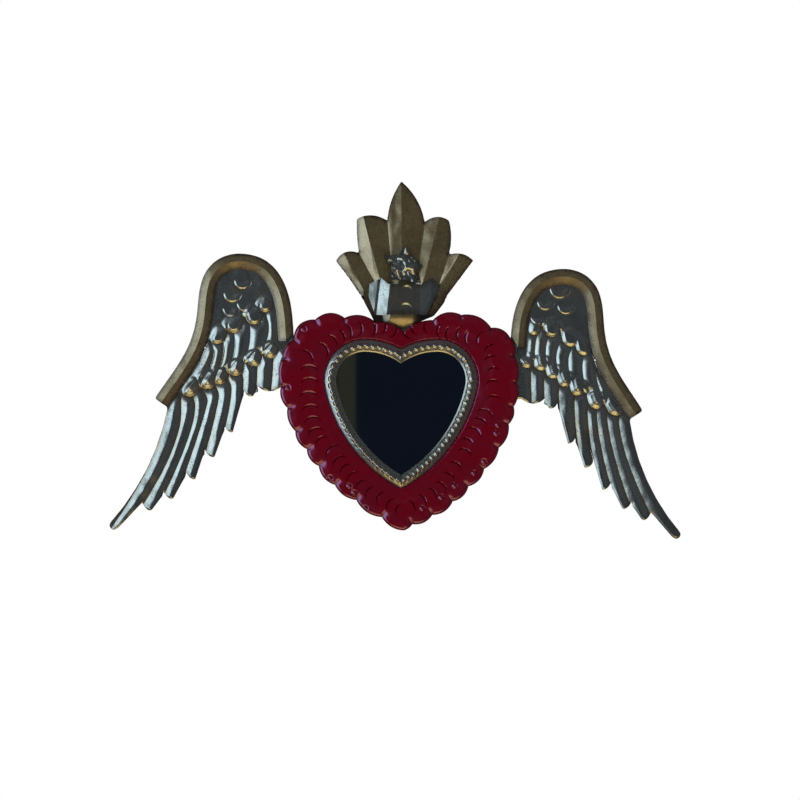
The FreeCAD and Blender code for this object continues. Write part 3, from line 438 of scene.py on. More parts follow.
def rounded(segments, softness, spacing=0.8):
    """The longest closed outline with its corners rounded."""
    left = list(segments)
    runs = []
    while left:
        run = list(left.pop())
        while left and math.dist(run[0], run[-1]) > 1e-3:
            segment = min(left, key=lambda ends: min(math.dist(place, run[-1]) for place in ends))
            left.remove(segment)
            run.append(max(segment, key=lambda place: math.dist(place, run[-1])))
        runs.append(run[:-1])
    run = max(runs, key=len)
    places = []
    for (x0, z0), (x1, z1) in zip(run, run[1:] + run[:1]):
        steps = max(1, round(math.hypot(x1 - x0, z1 - z0) / spacing))
        places += [(x0 + (x1 - x0) * step / steps, z0 + (z1 - z0) * step / steps) for step in range(steps)]
    places = np.array(places)
    for _ in range(round(2.0 * (softness / spacing) ** 2)):
        places = places / 2 + np.roll(places, 1, axis=0) / 4 + np.roll(places, -1, axis=0) / 4
    run = [tuple(place) for place in places]
    return segments_of(run + run[:1])


def segments_of(run):
    return list(zip(run, run[1:]))


def stepped(segment, spacing):
    """Places along a segment, with both ends, no further apart than the spacing."""
    (x0, z0), (x1, z1) = segment
    steps = max(1, math.ceil(math.hypot(x1 - x0, z1 - z0) / spacing))
    return [(x0 + (x1 - x0) * step / steps, z0 + (z1 - z0) * step / steps) for step in range(steps + 1)]


def tree_of(places):
    """Search tree for the nearest of some places."""
    tree = KDTree(len(places))
    for number, (x, z) in enumerate(places):
        tree.insert((x, z, 0.0), number)
    tree.balance()
    return tree


def inside(x, z, segments):
    """Whether points lie within an outline of segments, which may have holes."""
    crossings = np.zeros(np.shape(x), dtype=int)
    for (x0, z0), (x1, z1) in segments:
        if z0 != z1:
            spans = (z0 > z) != (z1 > z)
            crossings += spans & (x < x0 + (z - z0) * (x1 - x0) / (z1 - z0))
    return crossings % 2 == 1


class Relief:
    """Fine mesh over the front of a sheet, with a height at every point."""

    # How near to a line a point may lie, as a share of the spacing
    CLEARANCE_SHARE = 0.55
    # Distances from a line are measured to places this far apart, in millimetres
    MEASURING_STEP = 0.25
    # A boss's dome, the ditch round it and the ditch's width, as shares of the boss's radius
    DOME_SHARE = 0.62
    DITCH_SHARE = 0.86
    DITCH_WIDTH = 0.20

    def __init__(self, node, spacing, outline=None, folds=(), depth=None, cut=()):
        """A sheet with the CAD sheet's own outline and folds, or with those given."""
        self.node = node
        self.cut = list(cut)
        skin = FrontSkin(node)
        self.outline = outline or skin.outline
        folds = list(folds) if outline else skin.folds + list(folds)
        points, lines = self.lines(self.outline + folds + self.cut, spacing)
        points += self.filling(points, spacing)
        flat = [Vector(point) for point in points]
        net = delaunay_2d_cdt(flat, lines, [], 1, 1e-5)
        corners = np.array([point[:] for point in net[0]])
        centres = np.array([np.mean(corners[list(face)], axis=0) for face in net[2]])
        self.faces = [face for face, keep in zip(net[2], self.holds(*centres.T)) if keep]
        self.x = corners[:, 0]
        self.z = corners[:, 1]
        if depth is None:
            self.depth = np.array([skin.depth(x, z) for x, z in corners])
        else:
            self.depth = np.full(len(corners), depth)
        self.rise = np.zeros(len(corners))
        self.hollow = np.zeros(len(corners))
        self.edge_distance = self.distance(self.outline)

    def holds(self, x, z):
        return inside(x, z, self.outline) & ~inside(x, z, self.cut)

    def lines(self, segments, spacing):
        """Outline and folds, split into steps no longer than the spacing."""
        places = {}
        points = []

        def index(x, z):
            key = (round(x, 4), round(z, 4))
            if key not in places:
                places[key] = len(points)
                points.append((x, z))
            return places[key]

        lines = []
        for segment in segments:
            row = [index(*place) for place in stepped(segment, spacing)]
            lines += [pair for pair in zip(row, row[1:]) if pair[0] != pair[1]]
        return points, lines

    def filling(self, points, spacing):
        """Staggered rows of points that keep clear of the lines."""
        tree = tree_of(points)
        low = np.min(points, axis=0)
        high = np.max(points, axis=0)
        rows = int((high[1] - low[1]) / (spacing * math.sqrt(0.75))) + 1
        columns = int((high[0] - low[0]) / spacing) + 1
        column, row = np.meshgrid(np.arange(columns), np.arange(rows))
        x = (low[0] + (column + 0.5 * (row % 2)) * spacing).ravel()
        z = (low[1] + row * spacing * math.sqrt(0.75)).ravel()
        kept = self.holds(x, z)
        clearance = spacing * self.CLEARANCE_SHARE
        return [(px, pz) for px, pz in zip(x[kept], z[kept]) if tree.find((px, pz, 0.0))[2] > clearance]

    def distance(self, segments, reach=40.0):
        """Distance of every point from the nearest of some segments, up to a reach."""
        tree = tree_of([place for segment in segments for place in stepped(segment, self.MEASURING_STEP)])
        return np.array([min(reach, tree.find((x, z, 0.0))[2]) for x, z in zip(self.x, self.z)])

    def near(self, x, z, reach):
        """Numbers of the points within a reach of a place."""
        return np.nonzero((np.abs(self.x - x) < reach) & (np.abs(self.z - z) < reach))[0]

    def boss(self, x, z, radius, height):
        """Round punched boss with a ditch round it."""
        near = self.near(x, z, radius * 2.0)
        out = np.hypot(self.x[near] - x, self.z[near] - z) / radius
        bump = np.clip(1.0 - (out / self.DOME_SHARE) ** 2, 0.0, 1.0)
        ditch = np.exp(-((out - self.DITCH_SHARE) / self.DITCH_WIDTH) ** 2)
        self.rise[near] += height * bump - height * 0.55 * ditch
        # The ditch's hollow value darkens the enamel as painted shade
        self.hollow[near] = np.maximum(self.hollow[near], ditch * 0.9)

    def unevenness(self, depth, grain, seed=0.0):
        """Slight dents of hand work."""
        places = [Vector((x / grain, seed, z / grain)) for x, z in zip(self.x, self.z)]
        self.rise += depth * np.array([noise.noise(place) for place in places])

    def piece(self, name, slot, thickness, smooth_angle=70.0):
        """Finished sheet: the mesh with its thickness behind it."""
        forward = (self.depth + self.rise) * MM
        corners = np.column_stack((self.x * MM, -forward, self.z * MM))
        mesh = bpy.data.meshes.new(name)
        mesh.from_pydata(corners.tolist(), [], self.faces)
        # The hollow attribute carries pooled lacquer and enamel, together with painted shade and painted
        # golden reflection
        for label, amounts in (("hollow", self.hollow), ("edge", 1.0 - ease(self.edge_distance, 0.2, 5.0))):
            mesh.attributes.new(label, "FLOAT", "POINT").data.foreach_set("value", amounts.astype(np.float32))
        sheet = bpy.data.objects.new(name, mesh)
        bpy.context.scene.collection.objects.link(sheet)
        select_only(sheet)
        turn_forward(mesh)
        finish_sheet(sheet, thickness, smooth_angle)
        settle(sheet, slot, self.node)
        return sheet


def select_only(piece):
    bpy.ops.object.select_all(action="DESELECT")
    piece.select_set(True)
    bpy.context.view_layer.objects.active = piece


def turn_forward(mesh):
    """Faces of a front skin look to the front."""
    shape = bmesh.new()
    shape.from_mesh(mesh)
    shape.normal_update()
    backward = [face for face in shape.faces if face.normal.y > 0.0]
    bmesh.ops.reverse_faces(shape, faces=backward)
    loose = [vert for vert in shape.verts if not vert.link_faces]
    bmesh.ops.delete(shape, geom=loose, context="VERTS")
    shape.to_mesh(mesh)
    shape.free()


def finish_sheet(sheet, thickness, smooth_angle):
    """Wall of tin behind the skin, and smooth shading except at sharp folds."""
    wall = sheet.modifiers.new("Wall", "SOLIDIFY")
    wall.thickness = thickness
    wall.offset = -1.0
    bpy.ops.object.modifier_apply(modifier=wall.name)
    bpy.ops.object.shade_smooth_by_angle(angle=math.radians(smooth_angle))


def settle(piece, slot, *nodes):
    """Gives a piece its finish and its body, and hides the CAD nodes that it stands for."""
    piece.data.materials.clear()
    piece.data.materials.append(material(slot))
    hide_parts(*nodes)
    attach(piece, "frame")


# Hearts: each half is a cleft arc, a lobe arc and a side arc, tangent to each other

class Heart:
    def __init__(self, lobe_x, top, lobe_radius, cleft_radius, side_radius, sweep_degrees):
        self.sizes = (lobe_x, top, lobe_radius, cleft_radius, side_radius, sweep_degrees)
        sweep = math.radians(sweep_degrees)
        lobe_z = top - lobe_radius
        side_x = lobe_x + (lobe_radius - side_radius) * math.cos(sweep)
        side_z = lobe_z - (lobe_radius - side_radius) * math.sin(sweep)
        self.arcs = [
            (lobe_x, top - cleft_radius, cleft_radius, math.acos(-lobe_x / cleft_radius), math.pi / 2),
            (lobe_x, lobe_z, lobe_radius, math.pi / 2, -sweep),
            (side_x, side_z, side_radius, -sweep, -math.acos(-side_x / side_radius)),
        ]
        self.lengths = [radius * abs(last - first) for _, _, radius, first, last in self.arcs]

    def outward(self, distance):
        """Heart whose whole outline lies a distance outside this one."""
        lobe_x, top, lobe_radius, cleft_radius, side_radius, sweep = self.sizes
        return Heart(
            lobe_x, top + distance, lobe_radius + distance, cleft_radius + distance, side_radius + distance,
            sweep,
        )

    def place(self, share_along):
        """Place on the right half, and the direction out of the heart, at a share of the way to the tip."""
        travel = share_along * sum(self.lengths)
        for arc, arc_length in zip(self.arcs, self.lengths):
            if travel <= arc_length or arc is self.arcs[-1]:
                break
            travel -= arc_length
        centre_x, centre_z, radius, first, last = arc
        turn = first + (last - first) * travel / arc_length
        return centre_x + radius * math.cos(turn), centre_z + radius * math.sin(turn), turn


def both_halves(right):
    """Closed run: down the right half and back up its mirror image."""
    return right + [(-x, z) for x, z in reversed(right[:-1])]


OPENING = Heart(29.0, 48.2, 22.7, 48.6, 110.0, 12.4)
OUTER_HEART = Heart(52.0, 77.0, 42.0, 165.0, 134.0, 0.0)
HEART_FRONT = 5.6
# Corners between the scallops, from the cleft to the tip, and how far each scallop bulges for its width
LEFT_CUSPS = [
    (403.5, 331.5), (375.3, 322.0), (344.6, 317.8), (315.2, 319.5), (293.5, 339.4), (282.0, 358.5),
    (281.0, 386.0), (287.4, 407.9), (295.3, 431.2), (306.8, 449.1), (318.8, 466.0), (334.9, 484.9),
    (356.3, 500.0), (381.9, 517.2), (404.0, 530.5),
]
LEFT_BULGES = [0.12, 0.16, 0.20, 0.24, 0.14, 0.13, 0.15, 0.13, 0.16, 0.16, 0.16, 0.14, 0.14, 0.14]
RIGHT_CUSPS = [
    (403.5, 331.5), (433.0, 320.0), (461.4, 314.9), (491.2, 327.8), (509.5, 336.5), (514.6, 355.7),
    (517.3, 382.5), (513.8, 406.6), (508.8, 424.0), (499.0, 447.7), (484.2, 469.0), (468.4, 486.4),
    (452.7, 501.4), (432.3, 515.0), (412.4, 524.2), (404.0, 530.5),
]
RIGHT_BULGES = [0.10, 0.18, 0.16, 0.16, 0.14, 0.12, 0.12, 0.15, 0.14, 0.13, 0.16, 0.16, 0.16, 0.16, 0.10]
# Crescents from the cleft to the tip: the top of the arch and its width
LEFT_CRESCENTS = [
    (397.0, 333.0, 13), (387.0, 328.5, 13), (377.0, 329.0, 15), (363.5, 328.5, 15), (352.5, 330.0, 17),
    (345.0, 334.0, 14), (336.0, 338.0, 14), (328.0, 347.0, 17), (311.0, 352.5, 17), (309.5, 364.0, 19),
    (310.0, 376.5, 19), (309.0, 390.0, 20), (310.0, 403.5, 18), (311.5, 415.5, 18), (314.0, 427.0, 17),
    (318.5, 437.0, 16), (328.5, 446.5, 18), (336.0, 457.0, 16), (342.5, 465.0, 14), (349.0, 473.0, 16),
    (357.0, 482.0, 14), (366.0, 489.5, 15), (376.5, 495.5, 15), (386.5, 502.0, 14), (395.5, 507.0, 12),
]
RIGHT_CRESCENTS = [
    (403.5, 336.0, 13), (410.5, 331.0, 13), (422.5, 327.5, 13), (435.5, 329.0, 16), (444.5, 332.5, 15),
    (455.0, 332.5, 15), (463.5, 336.0, 17), (476.0, 336.5, 16), (487.0, 345.0, 13), (489.5, 355.0, 13),
    (493.0, 366.5, 12), (492.5, 379.0, 14), (494.5, 394.5, 14), (488.0, 409.0, 18), (482.5, 418.0, 15),
    (477.0, 428.0, 17), (469.0, 438.0, 14), (467.0, 448.5, 16), (458.0, 462.0, 15), (451.5, 473.0, 14),
    (444.0, 483.0, 15), (435.5, 490.5, 14), (425.5, 497.5, 14), (415.0, 504.0, 13),
]
BOSS_PIXELS = [
    (483.7, 462.0), (473.8, 473.2), (454.3, 485.6), (441.0, 497.2), (422.0, 508.4), (497.7, 424.9),
    (495.9, 433.4), (349.0, 486.0), (354.0, 493.0), (287.5, 388.0), (303.5, 329.5), (330.0, 478.0),
    (365.0, 508.0),
]


class Stamp:
    """Crescent cut: a sloped flank on its bulging side and a steep one inside."""

    # How far the outer edge, the bottom and the inner edge bulge, as shares of the chord
    SAGS = (0.46, 0.35, 0.26)
    STEPS = 16

    def __init__(self, middle, heading, chord, depth, sags=SAGS):
        self.middle = middle
        self.sags = sags
        self.bulge = (math.cos(heading), math.sin(heading))
        self.chord = chord
        self.depth = depth

    def run(self, sag):
        """Run of places along one of the stamp's edges."""
        places = []
        for step in range(self.STEPS + 1):
            turn = math.pi * (step / self.STEPS - 0.5)
            along = self.chord / 2 * math.sin(turn)
            out = self.chord * sag * math.cos(turn)
            places.append((
                self.middle[0] - self.bulge[1] * along + self.bulge[0] * out,
                self.middle[1] + self.bulge[0] * along + self.bulge[1] * out,
            ))
        return places

    def edges(self):
        return [edge for sag in self.sags for edge in segments_of(self.run(sag))]

    def press(self, sheet):
        near = sheet.near(*self.middle, self.chord * 0.7)
        across = sheet.x[near] - self.middle[0]
        up = sheet.z[near] - self.middle[1]
        along = up * self.bulge[0] - across * self.bulge[1]
        out = across * self.bulge[0] + up * self.bulge[1]
        turn = np.sqrt(np.clip(1.0 - (2.0 * along / self.chord) ** 2, 0.0, 1.0))
        scale = self.chord * turn + 1e-6
        outer_sag, bottom_sag, inner_sag = self.sags
        flank = (outer_sag - out / scale) / (outer_sag - bottom_sag)
        inner = (out / scale - inner_sag) / (bottom_sag - inner_sag)
        cut = np.clip(np.minimum(flank, inner), 0.0, 1.0) * turn ** 0.8
        sheet.rise[near] -= self.depth * cut
        # The cut's hollow value darkens enamel as painted shade, and on tin gives amber lacquer with a
        # painted golden reflection
        sheet.hollow[near] = np.maximum(sheet.hollow[near], cut)


class MIRROR_OT_heart_frame(Operator):
    """Domed red heart with a scalloped edge, a row of crescents and punched bosses"""
    bl_idname = "mirror.heart_frame"
    bl_label = "Heart frame"

    OUTLINE_STEPS = 140
    SCALLOP_STEPS = 16
    BOSS_HEIGHT = 0.9
    # Distance of a pillow's middle from the line between two cusps, and its radius as a share of that line
    PILLOW_INSET = 3.5
    PILLOW_SHARE = 0.42
    # Height of the inner slope, as shares of the crest, by the distance from the opening's edge
    INNER_PLACES = (8.4, 9.7, 23.0)
    INNER_SHARES = (0.0, 0.40, 1.0)

    def execute(self, context):
        sizes = context.scene.mirror_heart
        tin = context.scene.mirror_tin
        left = self.scallops(spots(LEFT_CUSPS), LEFT_BULGES, -1.0)
        right = self.scallops(spots(RIGHT_CUSPS), RIGHT_BULGES, 1.0)
        outer = segments_of(left + right[::-1])
        opening = OPENING.outward(1.0)
        steps = range(self.OUTLINE_STEPS + 1)
        hole = [opening.place(step / self.OUTLINE_STEPS)[:2] for step in steps]
        hole = segments_of(both_halves(hole))
        stamps = self.stamps(LEFT_CRESCENTS, sizes) + self.stamps(RIGHT_CRESCENTS, sizes)
        folds = [edge for stamp in stamps for edge in stamp.edges()]
        sheet = Relief("heart_frame", tin.heart_spacing / MM, outer + hole, folds, HEART_FRONT)
        edge = sheet.distance(outer, 60.0)
        sheet.edge_distance = edge
        reach = np.clip(edge / (sizes.edge_width / MM), 0.0, 1.0)
        sheet.rise += sizes.edge_roll / MM * np.sqrt(1.0 - (1.0 - reach) ** 2)
        sheet.rise += (sizes.crest - sizes.edge_roll) / MM * ease(edge, 0.5, 12.0)
        for cusps, side in ((LEFT_CUSPS, -1.0), (RIGHT_CUSPS, 1.0)):
            self.crease(sheet, sizes, spots(cusps), side)
        sheet.rise *= np.interp(sheet.distance(hole, 60.0), self.INNER_PLACES, self.INNER_SHARES)
        for stamp in stamps:
            stamp.press(sheet)
        for pixel in BOSS_PIXELS:
            sheet.boss(*spot(*pixel), sizes.boss_radius / MM, self.BOSS_HEIGHT)
        sheet.unevenness(0.30, 16.0)
        sheet.unevenness(0.12, 6.0, 4.0)
        sheet.piece("heart_frame_enamelled", "red_enamel", tin.thickness, 42.0)
        return {"FINISHED"}

    def scallops(self, cusps, bulges, side):
        """Outline of one half, whose lobes bulge out from cusp to cusp."""
        run = []
        for ((x0, z0), (x1, z1)), bulge in zip(segments_of(cusps), bulges):
            for step in range(self.SCALLOP_STEPS):
                travel = step / self.SCALLOP_STEPS
                out = bulge * side * math.sin(math.pi * travel) ** 0.8
                run.append((
                    x0 + (x1 - x0) * travel - (z1 - z0) * out, z0 + (z1 - z0) * travel + (x1 - x0) * out,
                ))
        return run + [cusps[-1]]

    def crease(self, sheet, sizes, cusps, side):
        """Creases run in from the cusps, and each scallop between them is a little pillow."""
        for before, cusp, after in zip(cusps, cusps[1:], cusps[2:]):
            span = math.dist(before, after)
            inward = ((after[1] - before[1]) * side / span, -(after[0] - before[0]) * side / span)
            along = (sheet.x - cusp[0]) * inward[0] + (sheet.z - cusp[1]) * inward[1]
            aside = (sheet.x - cusp[0]) * inward[1] - (sheet.z - cusp[1]) * inward[0]
            cut = np.exp(-np.abs(aside / 1.4) ** 1.5) * ease(along, -2.0, 0.5) * (1.0 - ease(along, 1.5, 7.5))
            sheet.rise -= sizes.crease_depth / MM * cut * ease(sheet.edge_distance, 0.0, 1.5)
            # The crease's hollow value darkens the enamel as painted shade
            sheet.hollow = np.maximum(sheet.hollow, cut * 0.6)
        for (x0, z0), (x1, z1) in segments_of(cusps):
            span = math.hypot(x1 - x0, z1 - z0)
            x = (x0 + x1) / 2 + (z1 - z0) * side * self.PILLOW_INSET / span
            z = (z0 + z1) / 2 - (x1 - x0) * side * self.PILLOW_INSET / span
            out = np.hypot(sheet.x - x, sheet.z - z) / (self.PILLOW_SHARE * span)
            sheet.rise += sizes.pillow / MM * np.clip(1.0 - out ** 2, 0.0, 1.0) ** 1.5

    def stamps(self, crescents, sizes):
        """Crescents whose arches bulge towards the one before, nearer the cleft."""
        stamps = []
        for number, (across, down, width) in enumerate(crescents):
            ahead = crescents[max(number - 1, 0)]
            behind = crescents[min(number + 1, len(crescents) - 1)]
            heading = math.atan2(behind[1] - ahead[1], ahead[0] - behind[0])
            chord = width * MM_PER_PIXEL
            x, z = spot(across, down)
            sag = chord * Stamp.SAGS[0]
            middle = (x - math.cos(heading) * sag, z - math.sin(heading) * sag)
            stamps.append(Stamp(middle, heading, chord, sizes.stamp_depth / MM * (0.9 + 0.1 * width / 13)))
        return stamps


# Bezel strips: half-round tin round the glass, with a row of beads

class MIRROR_OT_bezels(Operator):
    """Two beaded half-round strips that meet at the heart's cleft and tip"""
    bl_idname = "mirror.bezels"
    bl_label = "Bezels"

    STEPS = 420
    ROWS = 40
    # Where the row of beads runs across the section, as a share from the inner foot to the outer one
    BEAD_SHARE = 0.50
    # The strip's section: distances out from the opening and heights over the heart, as shares of its width
    SECTION_STEPS = (0.0, 0.10, 0.16, 0.48, 0.58, 0.92, 1.0)
    SECTION_REACHES = (0.0, 0.01, 0.06, 0.46, 0.55, 0.97, 1.0)
    SECTION_HEIGHTS = (0.0, 0.26, 0.36, 0.49, 0.49, 0.10, 0.0)
    SEAM = 0.1

    def execute(self, context):
        for name, side in (("bezel_left", -1.0), ("bezel_right", 1.0)):
            self.strip(context, name, side)
        return {"FINISHED"}

    def strip(self, context, name, side):
        sizes = context.scene.mirror_bezel
        foot = -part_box(name)[1].y / MM
        width = sizes.width / MM
        path = sum(OPENING.lengths) * 1.1
        pitch = sizes.bead_pitch / MM
        bead = sizes.bead_radius / MM
        bpy.ops.object.select_all(action="DESELECT")
        bpy.ops.mesh.primitive_grid_add(x_subdivisions=self.STEPS, y_subdivisions=self.ROWS, size=1.0)
        strip = bpy.context.active_object
        strip.name = name + "_beaded"
        strip.data.name = strip.name
        corners = np.array([vert.co[:] for vert in strip.data.vertices])
        along = corners[:, 0] + 0.5
        around = corners[:, 1] + 0.5
        hollow = np.zeros(len(corners))
        for number, (travel, turn_share) in enumerate(zip(along, around)):
            stretched = travel * 1.12 - 0.06
            x, z, turn = self.path_place(stretched)
            reach = width * float(np.interp(turn_share, self.SECTION_STEPS, self.SECTION_REACHES))
            height = width * float(np.interp(turn_share, self.SECTION_STEPS, self.SECTION_HEIGHTS))
            distance = stretched * path
            offset = (distance / pitch) % 1.0 - 0.5
            bead_number = math.floor(distance / pitch)
            wander = 0.035 * math.sin(bead_number * 2.3 + side)
            across = (turn_share - self.BEAD_SHARE - wander) * width * 1.1
            out = math.hypot(offset * pitch, across) / bead
            bump = math.sqrt(max(0.0, 1.0 - out * out)) * sizes.bead_height / MM
            ditch = math.exp(-((out - 1.12) / 0.22) ** 2)
            wobble = 0.16 * noise.noise(Vector((distance / 6.0, turn_share * 3.0, side)))
            height += bump - 0.22 * ditch + wobble * math.sin(math.pi * turn_share)
            corners[number] = (
                side * (x + reach * math.cos(turn)) * MM,
                -(foot + height) * MM,
                (z + reach * math.sin(turn)) * MM,
            )
            # Lacquer in the ditches round the beads, and a painted golden reflection along the strip's inner
            # slope
            hollow[number] = max(ditch, 0.5 * (1.0 - ease(turn_share, 0.10, 0.45)))
        strip.data.vertices.foreach_set("co", corners.astype(np.float32).ravel())
        ditch_stain_and_painted_gold = strip.data.attributes.new("hollow", "FLOAT", "POINT")
        ditch_stain_and_painted_gold.data.foreach_set("value", hollow.astype(np.float32))
        strip.data.attributes.new("edge", "FLOAT", "POINT")
        self.cut_seam(strip, side)
        turn_outward(strip, side)
        finish_sheet(strip, context.scene.mirror_tin.thickness, 60.0)
        settle(strip, "beaded_tin", name)

    def path_place(self, share_along):
        """Place on the opening's edge, carried on past the cleft and the tip."""
        if share_along < 0.0:
            centre_x, centre_z, radius, first, _ = OPENING.arcs[0]
            turn = first - share_along * sum(OPENING.lengths) / radius
        elif share_along > 1.0:
            centre_x, centre_z, radius, _, last = OPENING.arcs[-1]
            turn = last - (share_along - 1.0) * sum(OPENING.lengths) / radius
        else:
            return OPENING.place(share_along)
        return centre_x + radius * math.cos(turn), centre_z + radius * math.sin(turn), turn

    def cut_seam(self, strip, side):
        """The strip ends at the mirror's middle line."""
        select_only(strip)
        bpy.ops.object.mode_set(mode="EDIT")
        bpy.ops.mesh.select_all(action="SELECT")
        bpy.ops.mesh.bisect(
            plane_co=(side * self.SEAM * MM, 0.0, 0.0), plane_no=(side, 0.0, 0.0), clear_inner=True,
        )
        bpy.ops.object.mode_set(mode="OBJECT")


def turn_outward(strip, side):
    """Faces of an arched strip look away from its hollow."""
    mesh = bmesh.new()
    mesh.from_mesh(strip.data)
    mesh.normal_update()
    if sum(face.normal.y * face.calc_area() for face in mesh.faces) > 0.0:
        bmesh.ops.reverse_faces(mesh, faces=mesh.faces)
    mesh.to_mesh(strip.data)
    mesh.free()


# Wings: scale stamps on the shoulder, a ribbed middle tier and long ridged feathers

LEFT_WING = {
    # Stamped scales: place, radius and how strong
    "scales": [
        (242.3, 280.5, 8.0, 0.9), (232.0, 293.5, 8.2, 1.0), (244.7, 303.5, 7.6, 0.8),
        (230.4, 308.5, 7.6, 0.9),
    ],
    # Round ends of the shoulder tier: from its line's start to the centre of its end, and the end's radius
    "upper_ends": [
        ((262.0, 290.0), (265.0, 304.6), 6.8), ((250.0, 300.0), (254.6, 315.8), 8.0),
        ((238.0, 305.0), (233.6, 323.8), 8.2), ((224.0, 318.0), (217.4, 335.4), 8.0),
    ],
    "upper_line": [
        (300.0, 296.0), (264.5, 302.0), (254.6, 312.0), (233.5, 321.0), (217.4, 333.0), (196.0, 352.0),
    ],
    # Ribs of the middle tier, down to the centres of their round ends, and the ends' radii
    "ribs": [
        ([(276.5, 316.0), (278.0, 332.0), (270.0, 350.6)], 7.0),
        ([(258.0, 322.0), (258.6, 338.0), (253.6, 359.0)], 6.8),
        ([(241.0, 330.0), (240.6, 347.0), (235.5, 368.5)], 7.0),
        ([(228.0, 339.0), (226.6, 358.0), (219.5, 377.0)], 6.8),
        ([(219.0, 346.0), (215.6, 365.0), (207.6, 380.6)], 8.0),
        ([(209.0, 352.0), (203.6, 368.0), (189.4, 387.6)], 8.2),
    ],
    "lower_line": [
        (300.0, 348.0), (270.0, 350.0), (253.0, 358.5), (236.0, 368.0), (219.0, 376.5), (207.0, 381.0),
        (189.0, 387.0), (166.0, 402.0),
    ],
    # Crests of the long feathers, from the middle tier down to their round tips
    "quills": [
        [(281.0, 358.0), (279.5, 372.0), (278.0, 392.0)],
        [(265.5, 362.0), (265.0, 376.0), (263.0, 392.0)],
        [(248.6, 368.0), (248.8, 382.0), (247.0, 394.0)],
        [(237.4, 380.0), (236.6, 398.0), (229.6, 432.0)],
        [(224.8, 389.0), (222.4, 412.0), (212.6, 455.0)],
        [(212.6, 396.0), (204.6, 428.0), (189.6, 478.0)],
        [(203.2, 402.0), (193.0, 434.0), (169.0, 497.0)],
        [(188.0, 408.0), (181.5, 446.0), (149.0, 509.0)],
        [(173.5, 408.0), (157.5, 465.0), (113.0, 531.0)],
        [(160.0, 406.0), (140.0, 465.0), (105.0, 531.0)],
    ],
    "seed": 0.0,
    "relief": 1.0,
}

RIGHT_WING = {
    "scales": [
        (559.8, 288.5, 9.6, 1.0), (545.5, 301.8, 8.0, 1.0), (566.2, 305.4, 8.4, 0.8),
        (538.4, 316.4, 7.6, 0.5), (552.5, 327.6, 8.4, 0.55),
    ],
    "upper_ends": [
        ((534.0, 318.0), (534.0, 328.0), 6.4), ((551.5, 316.0), (552.5, 328.0), 8.2),
        ((569.0, 328.0), (571.0, 338.0), 8.0), ((582.0, 336.0), (584.4, 346.8), 7.8),
    ],
    "upper_line": [
        (500.0, 318.0), (534.0, 326.0), (552.5, 326.0), (571.0, 336.0), (584.5, 345.0), (606.0, 358.0),
    ],
    "ribs": [
        ([(531.4, 336.0), (529.6, 350.0), (527.0, 361.0)], 6.6),
        ([(543.2, 334.0), (540.2, 347.0), (541.4, 363.2)], 6.8),
        ([(553.0, 342.0), (551.0, 357.0), (553.6, 372.0)], 6.4),
        ([(565.0, 348.0), (561.2, 361.0), (565.4, 379.6)], 6.8),
        ([(578.0, 350.0), (575.0, 366.0), (578.0, 387.6)], 7.4),
        ([(592.0, 358.0), (590.0, 374.0), (596.8, 400.6)], 7.6),
        ([(602.0, 364.0), (604.0, 384.0), (616.0, 407.0)], 8.0),
    ],
    "lower_line": [
        (500.0, 352.0), (540.0, 362.0), (553.6, 371.0), (565.4, 379.0), (578.0, 387.0), (597.0, 400.0),
        (616.0, 406.0), (640.0, 420.0),
    ],
    "quills": [
        [(524.0, 368.0), (525.0, 382.0), (525.6, 404.0)],
        [(536.6, 374.0), (536.6, 388.0), (537.0, 404.0)],
        [(551.0, 380.0), (551.0, 392.0), (552.6, 408.0)],
        [(566.6, 390.0), (566.0, 412.0), (570.0, 447.0)],
        [(583.0, 398.0), (584.0, 430.0), (590.0, 467.0)],
        [(591.6, 404.0), (595.0, 444.0), (606.0, 489.0)],
        [(601.0, 412.0), (608.0, 456.0), (624.0, 512.0)],
        [(612.0, 416.0), (622.0, 462.0), (647.0, 525.0)],
        [(625.0, 418.0), (636.0, 468.0), (674.0, 541.0)],
    ],
    "seed": 7.0,
    "relief": 0.8,
}


# Depth of the wings' front, in millimetres forward of the wall
WING_FRONT = 5.0


def distance_to_run(x, z, run):
    """Distance of points from a run of straight segments."""
    best = np.full(x.shape, 1e6)
    for (x0, z0), (x1, z1) in zip(run, run[1:]):
        span_x = x1 - x0
        span_z = z1 - z0
        along = np.clip(((x - x0) * span_x + (z - z0) * span_z) / (span_x ** 2 + span_z ** 2), 0.0, 1.0)
        best = np.minimum(best, np.hypot(x - x0 - along * span_x, z - z0 - along * span_z))
    return best


def curved(run, steps=10):
    """Smooth run through three places."""
    (x0, z0), (x1, z1), (x2, z2) = run
    mid_x = 2 * x1 - (x0 + x2) / 2
    mid_z = 2 * z1 - (z0 + z2) / 2
    places = []
    for step in range(steps + 1):
        t = step / steps
        places.append((
            (1 - t) ** 2 * x0 + 2 * t * (1 - t) * mid_x + t * t * x2,
            (1 - t) ** 2 * z0 + 2 * t * (1 - t) * mid_z + t * t * z2,
        ))
    return places


def roofs(x, z, crests):
    """Roof-shaped ridges: 1 on the nearest crest, 0 half way to the next one."""
    distances = np.sort(np.array([distance_to_run(x, z, crest) for crest in crests]), axis=0)
    return (distances[1] - distances[0]) / (distances[1] + distances[0] + 1e-6)


def even_roofs(x, z, crests):
    """Ridges whose flanks all rise one millimetre in each millimetre."""
    distances = np.sort(np.array([distance_to_run(x, z, crest) for crest in crests]), axis=0)
    return (distances[1] - distances[0]) / 2


def rounded_roofs(x, z, crests):
    """Rounded ridges with a sharp valley between them."""
    return 1.0 - (1.0 - roofs(x, z, crests)) ** 2


def above_line(x, z, line):
    """Height of points above a line that runs across the wing."""
    places = sorted(line)
    return z - np.interp(x, [place[0] for place in places], [place[1] for place in places])


